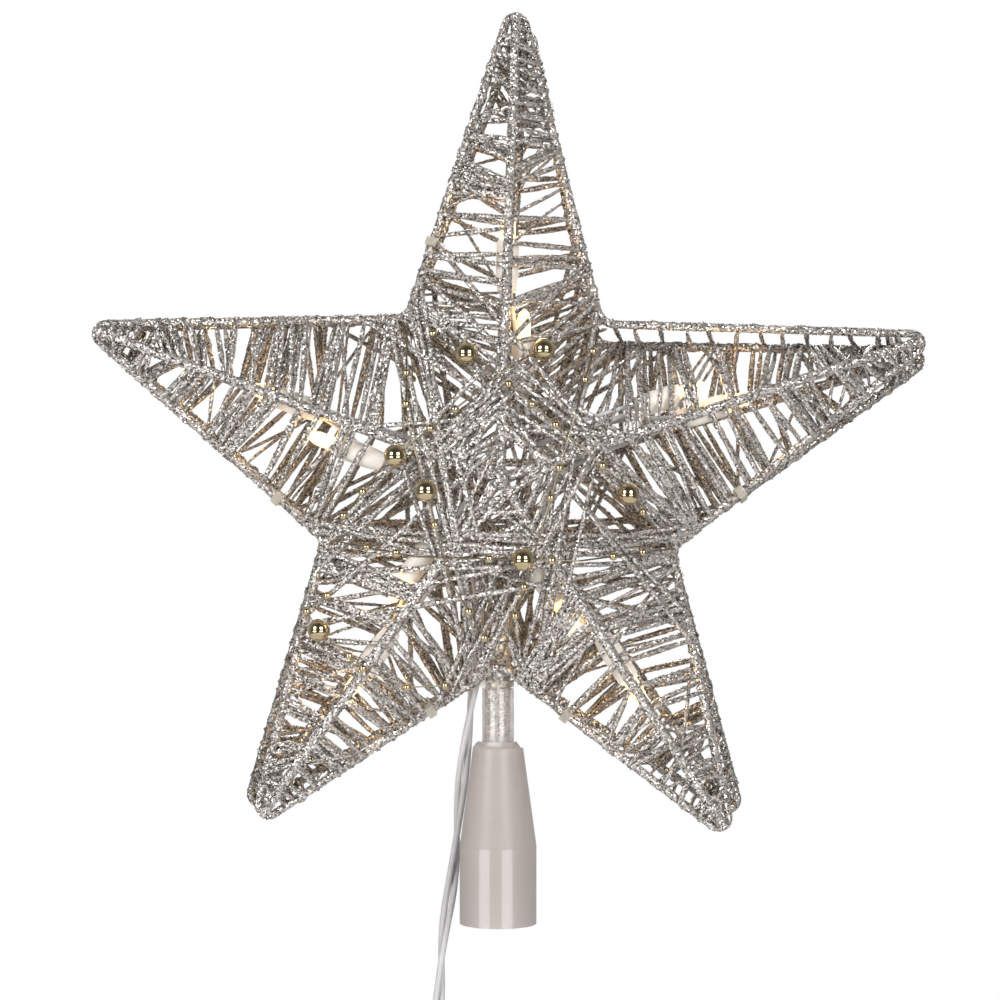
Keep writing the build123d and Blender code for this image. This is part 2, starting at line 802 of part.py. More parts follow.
def cord_drop():
    """The cord from the stem's tie to the coil."""
    points = [Vector(*p) for p in CORD_ROUTE]
    radii = []
    for a, b, c in zip(points, points[1:], points[2:]):
        half = turn_between(a, b, c) / 2
        radii.append(0.45 * min((b - a).length, (c - b).length) / math.tan(half))
    radii[-1] = CORD_TURN_RADIUS
    print(f"cord: bend radii {', '.join(f'{r:.1f}' for r in radii)} mm")
    return rounded(points, radii)


def coil_path():
    """Half turns that spiral in, climb to a second layer and spiral out, then a tail down."""
    top = Vector(*CORD_ROUTE[-1])
    middle = top - Vector(0, 0, COIL_OUTER_R)
    halves = 2 * COIL_TURNS_A_LAYER
    edges, here, radius = [], top, COIL_OUTER_R
    for half in range(2 * halves + 1):
        layer = COIL_PITCH if half >= halves else 0
        inward = 0 if half == halves else (-1 if half < halves else 1)
        radius += inward * COIL_PITCH / 2
        sign = 1 if half % 2 else -1
        there = middle + Vector(0, layer, sign * radius)
        side = (here + there) * 0.5 + Vector(sign * (here - there).length / 2, 0, 0)
        edges.append(Edge.make_three_point_arc(here, side, there))
        here = there
    bend = here + Vector(CORD_TURN_RADIUS * math.sin(math.radians(45)), 0, 0)
    bend -= Vector(0, 0, CORD_TURN_RADIUS * (1 - math.cos(math.radians(45))))
    down = here + Vector(CORD_TURN_RADIUS, 0, -CORD_TURN_RADIUS)
    edges.append(Edge.make_three_point_arc(here, bend, down))
    end = down - Vector(0, 0, COIL_TAIL)
    edges.append(Edge.make_line(down, end))
    return edges, end


save("cord", tube(cord_drop(), CORD_D))
coil_edges, coil_end = coil_path()
save("cord_coil", tube(coil_edges, CORD_D))
print(f"cord_coil: least gap to itself {self_gap(coil_edges, CORD_D, 1.5, 45):.2f} mm")
cord_length = sum(e.length for e in cord_drop()) + sum(e.length for e in coil_edges)
print(f"cord: {cord_length:.0f} mm long from the star to the plug")


def coil_tie():
    """A strap round all the turns at the coil's top, just past where the cord comes in."""
    x, y, z = CORD_ROUTE[-1]
    rows = COIL_TURNS_A_LAYER * COIL_PITCH
    height = rows + CORD_D + 2 * COIL_TIE_GAP
    depth = COIL_PITCH + CORD_D + 2 * COIL_TIE_GAP
    outer = RectangleRounded(depth + 2 * TIE_THICK, height + 2 * TIE_THICK, 2.0)
    strap = extrude(outer - RectangleRounded(depth, height, 1.0), COIL_TIE_WIDTH)
    place = Plane(origin=(x, y + COIL_PITCH / 2, z - rows / 2), x_dir=(0, 1, 0), z_dir=(-1, 0, 0))
    return place * strap


save("coil_tie", coil_tie())


def plug():
    """Fused plug that hangs blades down: its body, blades, fuses and sliding fuse door."""
    top = coil_end
    body_top = top.Z - RELIEF_LENGTH + SEAT_GAP
    body = Pos(top.X, top.Y, body_top - PLUG_LENGTH / 2) * Box(PLUG_WIDTH, PLUG_DEPTH, PLUG_LENGTH)
    body = fillet(body.edges().filter_by(Axis.Z), PLUG_ROUND)
    relief = Cylinder(CORD_D / 2 + RELIEF_WALL, RELIEF_LENGTH - SEAT_GAP, align=STANDING)
    body += Pos(top.X, top.Y, body_top) * relief
    bottom = body_top - PLUG_LENGTH
    blades = []
    for hand in (-1, 1):
        at = Pos(top.X + hand * BLADE_SPACING / 2, top.Y, bottom - BLADE_LENGTH)
        blade = at * Box(BLADE_THICK, BLADE_WIDTH, BLADE_LENGTH + BLADE_ROOT, align=STANDING)
        body -= blade
        blades.append(blade)
    face = top.Y - PLUG_DEPTH / 2
    door_low = bottom + DOOR_END
    groove_length = DOOR_LENGTH + DOOR_END + 2
    groove = Box(DOOR_WIDTH + 2 * DOOR_FIT, DOOR_THICK + 2 * DOOR_FIT, groove_length, align=STANDING)
    body -= Pos(top.X, face + DOOR_THICK / 2 + DOOR_FIT, bottom - 1) * groove
    pocket_depth = FUSE_D + 2 * FUSE_FIT
    pocket_front = face + DOOR_THICK + 2 * DOOR_FIT
    pocket_z = door_low + DOOR_LENGTH / 2
    pocket = Pos(top.X, pocket_front + pocket_depth / 2, pocket_z) * Box(
        2 * FUSE_D + 4 * FUSE_FIT, pocket_depth, FUSE_LENGTH + 2 * FUSE_FIT
    )
    body -= pocket
    fuses = []
    for hand in (-1, 1):
        x = top.X + hand * (FUSE_D / 2 + FUSE_FIT / 2)
        y = pocket_front + FUSE_FIT + FUSE_D / 2
        fuses.append(Pos(x, y, pocket_z) * Cylinder(FUSE_D / 2, FUSE_LENGTH))
    door = Pos(top.X, face + DOOR_THICK / 2 + DOOR_FIT, pocket_z) * Box(DOOR_WIDTH, DOOR_THICK, DOOR_LENGTH)
    return body, blades, fuses, door


plug_body, plug_blades, plug_fuses, fuse_door = plug()
save("plug_body", plug_body)
save("plug_blades", *plug_blades)
save("plug_fuses", *plug_fuses)
save("fuse_door", fuse_door)
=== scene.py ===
# %% [markdown]
# # A lighted star for the top of a christmas tree
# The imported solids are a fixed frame: they say where every wire, lamp and bead is. This script dresses
# that frame. Hard pieces such as the cone, the beads and the lamps keep their solids and get a finish.
# Yarn and leads are soft, so they are made again here as what they are: hundreds of hand-wound strands,
# and a twisted pair of wires. The star's lengths are written in millimetres and turned to metres where a
# mesh is made. The camera, the lights and a strand's surface are in metres.

# %% Load the frame
import json
import math
import random
from functools import partial

import bmesh
import bpy
from mathutils import Matrix, Vector

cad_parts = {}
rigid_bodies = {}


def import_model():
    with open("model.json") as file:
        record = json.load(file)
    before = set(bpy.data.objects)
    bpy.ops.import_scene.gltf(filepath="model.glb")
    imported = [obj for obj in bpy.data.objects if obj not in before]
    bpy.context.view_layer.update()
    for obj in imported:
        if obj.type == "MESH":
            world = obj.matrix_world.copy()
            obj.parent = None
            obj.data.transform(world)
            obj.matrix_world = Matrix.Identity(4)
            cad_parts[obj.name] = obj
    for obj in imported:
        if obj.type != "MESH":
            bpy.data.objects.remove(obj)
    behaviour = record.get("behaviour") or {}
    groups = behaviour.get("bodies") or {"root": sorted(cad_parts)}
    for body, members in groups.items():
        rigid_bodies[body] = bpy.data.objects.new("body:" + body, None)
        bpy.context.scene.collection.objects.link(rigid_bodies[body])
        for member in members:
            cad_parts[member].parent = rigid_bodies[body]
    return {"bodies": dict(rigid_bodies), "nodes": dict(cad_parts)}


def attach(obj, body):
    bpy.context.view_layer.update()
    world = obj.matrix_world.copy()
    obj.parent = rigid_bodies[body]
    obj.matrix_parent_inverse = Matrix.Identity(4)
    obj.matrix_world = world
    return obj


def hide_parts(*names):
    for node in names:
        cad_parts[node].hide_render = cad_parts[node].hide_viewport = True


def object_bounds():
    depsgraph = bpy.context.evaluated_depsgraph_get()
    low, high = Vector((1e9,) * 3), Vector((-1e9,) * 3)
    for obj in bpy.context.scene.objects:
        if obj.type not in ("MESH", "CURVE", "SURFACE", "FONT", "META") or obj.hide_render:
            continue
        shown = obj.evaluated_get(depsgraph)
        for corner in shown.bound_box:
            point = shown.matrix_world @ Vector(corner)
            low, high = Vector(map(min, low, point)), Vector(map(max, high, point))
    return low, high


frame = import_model()
nodes = frame["nodes"]
cad_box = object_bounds()
scene = bpy.context.scene
MM = 0.001

# %% [markdown]
# ## Camera
# The photograph is a level front view with a long lens, centred a little below the star's middle.
# At 0.36 mm a pixel the picture is 360 mm wide at the star's own plane.

# %% Camera
CAMERA_SPOT = (0.0007, -0.96, 0.152)
VIEW_DEGREES = 21.2
camera = bpy.data.objects.new("camera", bpy.data.cameras.new("camera"))
camera.location = CAMERA_SPOT
camera.rotation_euler = (math.pi / 2, 0, 0)
camera.data.angle = math.radians(VIEW_DEGREES)
scene.collection.objects.link(camera)
scene.camera = camera
scene.view_settings.view_transform = "Standard"
print("camera", round(camera.data.lens, 1), "mm lens")

# %% [markdown]
# ## Small helpers
# One function adds a node with its settings and links, in a material, a world or a Geometry Nodes tree,
# and short ones use it for sums, blends and coordinates. One turns sRGB hex colours to the linear values
# that shaders use, and one starts a material. One gives a piece its place in the scene: its body and the
# solids it stands for.


# %% Helpers
def add(tree, kind, inputs=None, **settings):
    """Add a node, apply its settings, and set or link its inputs."""
    made = tree.nodes.new(kind)
    for name, value in settings.items():
        setattr(made, name, value)
    for key, value in (inputs or {}).items():
        if isinstance(value, bpy.types.NodeSocket):
            tree.links.new(value, made.inputs[key])
        else:
            made.inputs[key].default_value = value
    return made


def reckon(tree, operation, *values, kind="ShaderNodeMath"):
    """Result of a sum of values or sockets."""
    return add(tree, kind, dict(enumerate(values)), operation=operation).outputs[0]


def scaled(tree, vector, factor):
    """A vector socket times a factor."""
    return add(tree, "ShaderNodeVectorMath", {0: vector, "Scale": factor}, operation="SCALE").outputs[0]


def ranged(tree, value, low, high, to_low, to_high):
    """A value socket carried from one range to another."""
    inputs = {"Value": value, "From Min": low, "From Max": high, "To Min": to_low, "To Max": to_high}
    return add(tree, "ShaderNodeMapRange", inputs).outputs["Result"]


def blend(tree, share, low, high):
    """A colour between two, by a share."""
    return add(tree, "ShaderNodeMix", {"Factor": share, 6: low, 7: high}, data_type="RGBA").outputs[2]


def mixed(tree, share, first, second):
    """A mix of two shaders."""
    return add(tree, "ShaderNodeMixShader", {0: share, 1: first, 2: second}).outputs[0]


def component(tree, output, letter):
    """One component of a texture coordinate."""
    coord = add(tree, "ShaderNodeTexCoord").outputs[output]
    return add(tree, "ShaderNodeSeparateXYZ", {0: coord}).outputs[letter]


def linear(code):
    """Linear colour with alpha from an sRGB hex code."""
    channels = [int(code[i : i + 2], 16) / 255 for i in (1, 3, 5)]
    return [c / 12.92 if c <= 0.04045 else ((c + 0.055) / 1.055) ** 2.4 for c in channels] + [1]


def new_material(name, **sockets):
    """A material with one principled shader, and its constants set on the shader's sockets."""
    made = bpy.data.materials.new(name)
    made.use_nodes = True
    shader = made.node_tree.nodes["Principled BSDF"]
    for key, value in sockets.items():
        shader.inputs[key.replace("_", " ")].default_value = value
    return made, made.node_tree, shader


def place(name, mesh, body, slot, *stands_for):
    """Put a finished mesh in the scene, on its body, in place of CAD nodes."""
    made = bpy.data.objects.new(name, mesh)
    scene.collection.objects.link(made)
    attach(made, body)
    if stands_for:
        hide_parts(*stands_for)
    return made


def finish_node(name, material):
    """Give a CAD node a better material."""
    nodes[name].data.materials.clear()
    nodes[name].data.materials.append(material)


# %% [markdown]
# ## Light, world and floor
# Two softboxes stand in front, left and right, as their two highlights on the beads show. Two low strips
# light the coil and the plug, and one softbox behind lights the back. The white background is only for
# rays from the camera and through clear plastic. Shiny things see a light room behind the star and a
# darker one in front of it, which is what gives beads and glitter their contrast.

# %% World
WORLD_LEVEL = 0.13
# The room that shiny things mirror: its levels in front and behind, and where it changes
ROOM_DARK = 0.06
ROOM_LIGHT = 0.4
ROOM_CHANGE = (-0.45, 0.55)
WHITE = linear("#ffffff")
world = bpy.data.worlds.new("white studio")
scene.world = world
world.use_nodes = True
sky = world.node_tree
sky.nodes.clear()
ray = add(sky, "ShaderNodeLightPath")
room = ranged(sky, component(sky, "Generated", "Y"), *ROOM_CHANGE, ROOM_DARK, ROOM_LIGHT)
ambient, mirrored, white = [
    add(sky, "ShaderNodeBackground", {"Color": WHITE, "Strength": level}).outputs[0]
    for level in (WORLD_LEVEL, room, 1.0)
]
by_gloss = mixed(sky, ray.outputs["Is Glossy Ray"], ambient, mirrored)
seen = reckon(sky, "MAXIMUM", ray.outputs["Is Camera Ray"], ray.outputs["Is Transmission Ray"])
add(sky, "ShaderNodeOutputWorld", {"Surface": mixed(sky, seen, by_gloss, white)})
print("world level", WORLD_LEVEL)

# %% Softboxes
STAR_MIDDLE = (0.0, 0.0, 0.14)
COIL_MIDDLE = (0, 0, -0.13)
# Name, place, aim, width, height and watts of each
SOFTBOXES = (
    ("softbox_left", (-0.85, -0.95, 0.6), STAR_MIDDLE, 0.5, 0.5, 8.4),
    ("softbox_right", (0.6, -1.15, 0.6), STAR_MIDDLE, 0.5, 0.5, 9.2),
    ("strip_left", (-0.85, -0.95, -0.13), COIL_MIDDLE, 0.75, 0.24, 2.6),
    ("strip_right", (0.6, -1.15, -0.13), COIL_MIDDLE, 0.75, 0.24, 2.6),
    ("softbox_back", (0.25, 1.15, 0.6), STAR_MIDDLE, 0.8, 0.8, 8.0),
)
for name, spot, aim, width, height, watts in SOFTBOXES:
    lamp = bpy.data.lights.new(name, "AREA")
    lamp.shape = "RECTANGLE"
    lamp.size = width
    lamp.size_y = height
    lamp.energy = watts
    made = bpy.data.objects.new(name, lamp)
    made.location = spot
    made.rotation_euler = (Vector(aim) - Vector(spot)).to_track_quat("-Z", "Y").to_euler()
    scene.collection.objects.link(made)
print(len(SOFTBOXES), "softboxes")

# %% Floor
FLOOR_BELOW = 0.012
FLOOR_RADIUS = 0.62
# Share of plain white in the paper that the camera sees
PAPER_GLOW = 0.8
bpy.ops.mesh.primitive_circle_add(
    vertices=96, radius=FLOOR_RADIUS, fill_type="NGON", location=(0, 0, cad_box[0].z - FLOOR_BELOW)
)
floor = bpy.context.object
floor.name = "floor"
paper, paper_tree, paper_shader = new_material(
    "seamless white paper", Base_Color=linear("#f4f4f4"), Roughness=0.9
)
paper_ray = add(paper_tree, "ShaderNodeLightPath")
paper_seen = reckon(paper_tree, "MULTIPLY", paper_ray.outputs["Is Camera Ray"], PAPER_GLOW)
paper_glow = add(paper_tree, "ShaderNodeEmission", {"Color": WHITE, "Strength": 1.0}).outputs[0]
paper_mix = mixed(paper_tree, paper_seen, paper_shader.outputs[0], paper_glow)
paper_tree.links.new(paper_mix, paper_tree.nodes["Material Output"].inputs["Surface"])
floor.data.materials.append(paper)
print("floor at", round(floor.location.z / MM), "mm")

# %% [markdown]
# ## Lead wire and its plastic
# The light set's lead is a loosely twisted pair of white wires. It leaves beside the stem, runs down
# behind the cone, and the length that the photograph doesn't show is a tied coil below the view.
# The route's points are control points of one smooth spline, and the coil is more points of it.

# %% Uneven finishes
SMOOTHEST = 0.02


def uneven(name, low, high, blotch_mm, roughness, worn=0.06, **sockets):
    """A finish whose tone drifts between two shades, and whose gloss drifts with it."""
    made, tree, shader = new_material(name, **sockets)
    coord = add(tree, "ShaderNodeTexCoord")
    blotches = {"Vector": coord.outputs["Object"], "Scale": 1 / (blotch_mm * MM), "Detail": 2.0}
    drift = add(tree, "ShaderNodeTexNoise", blotches).outputs["Fac"]
    tree.links.new(blend(tree, drift, linear(low), linear(high)), shader.inputs["Base Color"])
    gloss = ranged(tree, drift, 0.0, 1.0, roughness + worn, max(roughness - worn, SMOOTHEST))
    tree.links.new(gloss, shader.inputs["Roughness"])
    return made


# PVC insulation: extruded and satin, a cool white that is a little uneven from handling
pvc = uneven("white PVC insulation", "#c8c6c7", "#dcdbdc", 9.0, 0.36, IOR=1.52)
print(pvc.name)

# %% Cord route
CORD_ROUTE = (
    (-7.1, 0.0, 98.0),
    (-7.1, 0.0, 92.0),
    (-9.0, 0.6, 84.0),
    (-11.0, 4.0, 68.0),
    (-14.0, 9.0, 44.0),
    (-16.0, 10.5, 16.0),
    (-20.5, 10.5, -8.0),
    (-22.0, 10.5, -45.0),
    (-38.8, 10.5, -45.0),
)
COIL_R = 30.0
COIL_PITCH = 5.6
COIL_HALF_TURNS = 6
POINTS_A_HALF_TURN = 8
COIL_TURN_OUT = 12.6
COIL_TAIL = 6.0


def coil_points():
    """Spiral in, climb to a second layer, spiral out, then turn down to the plug."""
    x, y, z = CORD_ROUTE[-1]
    inner = COIL_R - COIL_HALF_TURNS * COIL_PITCH / 2
    points = []
    for step in range(1, (2 * COIL_HALF_TURNS + 1) * POINTS_A_HALF_TURN + 1):
        half = step / POINTS_A_HALF_TURN
        climb = min(1, max(0, half - COIL_HALF_TURNS))
        radius = max(COIL_R - half * COIL_PITCH / 2, inner)
        radius += max(0, half - COIL_HALF_TURNS - 1) * COIL_PITCH / 2
        aside, up = radius * math.sin(half * math.pi), radius * math.cos(half * math.pi)
        points.append((x - aside, y + climb * COIL_PITCH, z - COIL_R + up))
    x, y, z = points[-1]
    ends = (z, z - COIL_TURN_OUT, z - COIL_TURN_OUT - COIL_TAIL)
    return points + [(x + COIL_TURN_OUT, y, end) for end in ends]


def new_curve(name, kind, lines):
    """A curve object with a spline along each line of points, in metres."""
    data = bpy.data.curves.new(name, "CURVE")
    data.dimensions = "3D"
    for line in lines:
        spline = data.splines.new(kind)
        spline.points.add(len(line) - 1)
        for point, spot in zip(spline.points, line):
            point.co = (*spot, 1)
    return bpy.data.objects.new(name, data)


def curve_to_mesh(holder):
    """The mesh of a curve object, which is removed."""
    mesh = bpy.data.meshes.new_from_object(holder)
    data = holder.data
    bpy.data.objects.remove(holder)
    bpy.data.curves.remove(data)
    return mesh


def smooth_line(points):
    """Points read along one NURBS spline through millimetre control points, in metres."""
    holder = new_curve("line", "NURBS", [[[c * MM for c in spot] for spot in points]])
    spline = holder.data.splines[0]
    spline.order_u = 3
    spline.use_endpoint_u = True
    mesh = curve_to_mesh(holder)
    line = [v.co.copy() for v in mesh.vertices]
    bpy.data.meshes.remove(mesh)
    return line


cord_line = smooth_line(list(CORD_ROUTE) + coil_points())


# %% Twisted pair
def wire_mesh(name, lines, radius, material):
    """A mesh of round wires along lines of points, in metres."""
    holder = new_curve(name, "POLY", lines)
    holder.data.bevel_depth = radius
    holder.data.bevel_resolution = 2
    holder.data.use_fill_caps = True
    holder.data.materials.append(material)
    mesh = curve_to_mesh(holder)
    mesh.name = name
    for face in mesh.polygons:
        face.use_smooth = True
    return mesh


# Of the twisted pair, in metres
TWIST_PITCH = 0.092
WIRE_OFFSET = 0.00125
WIRE_RADIUS = 0.00118
KEPT_POINTS = 3


def perpendicular(v, axis):
    """Direction of the part of a vector that is square to an axis."""
    return (v - axis * v.dot(axis)).normalized()


def twisted(line):
    """Two lines that turn about a line, half a turn apart."""
    pair = ([], [])
    across = Vector((1, 0, 0))
    run = 0.0
    for i, spot in enumerate(line):
        along = (line[min(i + 1, len(line) - 1)] - line[max(i - 1, 0)]).normalized()
        across = perpendicular(across, along)
        if i:
            run += (spot - line[i - 1]).length
        phase = 2 * math.pi * run / TWIST_PITCH
        out = across * math.cos(phase) + along.cross(across) * math.sin(phase)
        pair[0].append(spot + out * WIRE_OFFSET)
        pair[1].append(spot - out * WIRE_OFFSET)
    return pair


cord_lines = twisted(cord_line[::KEPT_POINTS] + cord_line[-1:])
cord_mesh = wire_mesh("lead_wire", cord_lines, WIRE_RADIUS, pvc)
cord_piece = place("lead_wire", cord_mesh, "star", "white_lead", "cord", "cord_coil")
print("lead wire", len(cord_piece.data.polygons), "faces")

# %% [markdown]
# ## The star's plan
# The yarn follows the wires, so the wires' lines are needed here as well: the bearing and reach of each
# arm, the notches between arms, and the ridge that climbs from each tip to the middle of a face.
# The back face was bent by hand as well, and its arms sit a little off those of the front.

# %% Star plan
# Reach of each arm and its bearing in degrees
ARMS = {
    "lower_left": (148.3, 234.7),
    "left": (155.4, 159.8),
    "top": (167.5, 88.0),
    "right": (160.2, 18.2),
    "lower_right": (149.5, 302.8),
}
# The arms counter-clockwise and clockwise of each notch, and its bearing
NOTCHES = {
    "bottom": ("lower_right", "lower_left", 270.0),
    "side_left": ("lower_left", "left", 199.0),
    "upper_left": ("left", "top", 120.0),
    "upper_right": ("top", "right", 57.0),
    "side_right": ("right", "lower_right", 338.0),
}
NOTCH_RADIUS = 66.0
# Middle of the star, and how far its crown stands off its middle plane
CENTRE = Vector((0.7, 0, 159.5))
APEX_DEPTH = 32.0
# How the back face differs: degrees turned, arms shorter, a notch further in
BACK_TURNS = {
    "lower_left": -2.0,
    "top": -1.2,
    "right": -2.0,
    "lower_right": 2.6,
    "side_left": -1.0,
    "upper_left": -0.6,
    "upper_right": -2.6,
    "side_right": 0.4,
}
BACK_SHORT = {"top": 4.0, "left": 2.0, "lower_right": 2.0}
BACK_INSET = {"upper_right": 6.5}
WIRE_R = 1.4
OUTLINE_DEPTH = 6.0
TIP_DEPTH = 8.9
TIP_BEND = 3.6
SIDES = {"front": -1, "back": 1}


def bearing(name, side):
    """Bearing of an arm or notch, in radians: those of the back face are slightly turned."""
    plain = ARMS[name][1] if name in ARMS else NOTCHES[name][2]
    return math.radians(plain + (BACK_TURNS.get(name, 0) if side == "back" else 0))


def arm_reach(arm, side):
    """Distance from the star's middle to the outside of an arm's tip."""
    return ARMS[arm][0] - (BACK_SHORT.get(arm, 0) if side == "back" else 0)


def arm_point(arm, along, across, depth, side="front"):
    """Point beside an arm's own line: along it, across it (counter-clockwise) and in depth."""
    a = bearing(arm, side)
    x = along * math.cos(a) - across * math.sin(a)
    z = along * math.sin(a) + across * math.cos(a)
    return CENTRE + Vector((x, SIDES[side] * depth, z))


def ridge_depth(arm, along, side="front"):
    """Depth of a ridge wire at a distance along its arm."""
    end = arm_reach(arm, side) - 2 * WIRE_R
    return APEX_DEPTH + (TIP_DEPTH - APEX_DEPTH) * along / end


def ridge_point(arm, along, side):
    """Point on a ridge wire at a distance along its arm."""
    return arm_point(arm, along, 0, ridge_depth(arm, along, side), side)


def arm_notches(arm):
    """Names of the notches on the counter-clockwise and clockwise side of an arm."""
    beside = {}
    for name, (ccw_arm, cw_arm, _) in NOTCHES.items():
        if arm == cw_arm:
            beside["ccw"] = name
        if arm == ccw_arm:
            beside["cw"] = name
    return beside


def notch_point(name, side):
    """Sharp corner of an outline between two arms."""
    a = bearing(name, side)
    radius = NOTCH_RADIUS - (BACK_INSET.get(name, 0) if side == "back" else 0)
    flat = Vector((math.cos(a), 0, math.sin(a))) * radius
    return CENTRE + flat + Vector((0, SIDES[side] * OUTLINE_DEPTH, 0))


def tip_corner(arm, side):
    """Sharp corner of an outline whose rounded tip reaches the arm's length."""
    end = arm_reach(arm, side) - WIRE_R
    tip = arm_point(arm, end, 0, OUTLINE_DEPTH, side)
    legs = [(notch_point(n, side) - tip).normalized() for n in arm_notches(arm).values()]
    half = math.acos(legs[0].dot(legs[1])) / 2
    return arm_point(arm, end + TIP_BEND * (1 / math.sin(half) - 1), 0, OUTLINE_DEPTH, side)


def leg_point(arm, leg, along, side):
    """Point of an outline's leg at a distance along its arm."""
    a = bearing(arm, side)
    out = Vector((math.cos(a), 0, math.sin(a)))
    tip, notch = tip_corner(arm, side), notch_point(arm_notches(arm)[leg], side)
    high, low = (tip - CENTRE).dot(out), (notch - CENTRE).dot(out)
    return tip + (notch - tip) * ((high - along) / (high - low))


print("star plan", len(ARMS), "arms")

# %% [markdown]
# ## Lamps in the arms
# Two lamps lie in each arm, just behind its front ridge, and point to the tip. Yarn is wound over them,
# so their lines are needed before the yarn is laid.

# %% Lamp lines
HUSK_D = 8.0
# Where each husk starts, and how far it lies beside its ridge (counter-clockwise)
OUTER_LAMP = (66.0, 0.0)
INNER_LAMPS = {
    "lower_left": (29.0, -6.5),
    "left": (40.0, 8.8),
    "top": (31.0, -6.5),
    "right": (51.0, 8.8),
    "lower_right": (29.0, -6.5),
}
LAMP_DROP = {"outer": 0.0, "inner": 1.6}
HUSK_RIDGE_GAP = 0.3
# From a husk's back to the end of its bulb when that is pulled out
LAMP_REACH = 37.0


def lamp_point(arm, spot, along, across=0.0):
    """Point on a lamp's axis, or beside it, at a distance along the arm from its husk's back."""
    start, aside = OUTER_LAMP if spot == "outer" else INNER_LAMPS[arm]
    drop = WIRE_R + HUSK_RIDGE_GAP + HUSK_D / 2 + LAMP_DROP[spot]
    return arm_point(arm, start + along, aside + across, ridge_depth(arm, start + along) - drop)


print("lamps", len(ARMS) * len(LAMP_DROP))

# %% [markdown]
# ## Glitter finish
# The silver on this star is glitter: foil grains of about half a millimetre, glued on yarn and wire at
# every angle. Each grain mirrors another part of the room, so next to a white one there is a dark one.
# A Voronoi pattern gives each cell its own tilt of the surface, which does the same, and its own grey from
# dark to white, which is partly the grains' own tone and partly painted glint.
# The colour of a strand is darkened on the side that faces into the star: painted shade, for the star's
# shaded middle.

# %% Glitter materials
# How far a surface faces outwards where the painted shade on faces turned into the star is full, and where
# it ends
INSIDE_SHADE_EDGE = (-0.5, 0.1)


def glitter(name, shades, grain_mm, metallic, roughness, tilt, shaded_inside=1.0):
    """Foil grains: every cell has its own grey, partly painted glint, and its own tilt, and painted shade
    darkens faces turned into the star.
    """
    made, tree, shader = new_material(name, Metallic=metallic, Roughness=roughness)
    coord = add(tree, "ShaderNodeTexCoord")
    grains = add(
        tree, "ShaderNodeTexVoronoi", {"Vector": coord.outputs["Object"], "Scale": 1 / (grain_mm * MM)}
    )
    parts = add(tree, "ShaderNodeSeparateColor", {0: grains.outputs["Color"]})
    ramp = add(tree, "ShaderNodeValToRGB", {0: parts.outputs[0]})
    stops = ramp.color_ramp.elements
    while len(stops) < len(shades):
        stops.new(0.5)
    for stop, (share, code) in zip(stops, shades):
        stop.position = share
        stop.color = linear(code)
    face = reckon(tree, "SIGN", component(tree, "Object", "Y"))
    outside = reckon(tree, "MULTIPLY", face, component(tree, "Normal", "Y"))
    # Painted shade: the grains' colour is scaled down on faces that turn into the star
    painted_shade = ranged(tree, outside, *INSIDE_SHADE_EDGE, shaded_inside, 1.0)
    tree.links.new(scaled(tree, ramp.outputs["Color"], painted_shade), shader.inputs["Base Color"])
    surface = add(tree, "ShaderNodeNewGeometry")
    vector = {"kind": "ShaderNodeVectorMath"}
    lean = reckon(tree, "SUBTRACT", grains.outputs["Color"], (0.5, 0.5, 0.5), **vector)
    lean = reckon(tree, "ADD", scaled(tree, lean, tilt), surface.outputs["Normal"], **vector)
    tree.links.new(reckon(tree, "NORMALIZE", lean, **vector), shader.inputs["Normal"])
    return made


# Greys of the yarn's and wire's grains: partly their own tone, partly painted glint from dark to white
SILVER = ((0.0, "#4b4642"), (0.2, "#8e867f"), (0.5, "#d2c9c2"), (0.8, "#fffaf4"), (1.0, "#ffffff"))
GRAIN_MM = 0.5
# Share of the colour kept on faces turned into the star: painted shade
INSIDE_SHADE = 0.7
yarn_silver = glitter("silver glitter yarn", SILVER, GRAIN_MM, 0.65, 0.22, 1.0, INSIDE_SHADE)
wire_silver = glitter("silver glitter wire", SILVER, GRAIN_MM, 0.65, 0.2, 1.0, INSIDE_SHADE)
print(yarn_silver.name, wire_silver.name)

# %% [markdown]
# ## A tree that makes glitter strands
# Yarn and coated wire are the same thing at two sizes: a round strand along a line, with a lumpy surface
# and foil grains standing off it. A Geometry Nodes tree makes both from bare lines. Python only decides
# where the lines run; the tree gives them their body, lumps and grains.

# %% Glitter strand tree
strand_tree = bpy.data.node_groups.new("glitter strand", "GeometryNodeTree")
TREE_INPUTS = {
    "Radius": "Float",
    "Sides": "Int",
    "Step": "Float",
    "Lumps": "Float",
    "Grain": "Float",
    "Grains a square metre": "Float",
    "Seed": "Int",
    "Finish": "Material",
}
LUMP_SCALE = 900.0
# Foil flakes: how far they tip over and turn at most, in radians, and the least and largest size
FLAKE_TURN = (0.9, 0.9, 3.1)
FLAKE_SIZES = (0.6, 1.2)
strand_tree.interface.new_socket("Lines", in_out="INPUT", socket_type="NodeSocketGeometry")
tree_socket = {}
for label, kind in TREE_INPUTS.items():
    made_socket = strand_tree.interface.new_socket(label, in_out="INPUT", socket_type="NodeSocket" + kind)
    tree_socket[label] = made_socket.identifier
strand_tree.interface.new_socket("Strands", in_out="OUTPUT", socket_type="NodeSocketGeometry")


def grow(kind, inputs=None, **settings):
    """First output of a new node of the strand tree."""
    return add(strand_tree, kind, inputs, **settings).outputs[0]


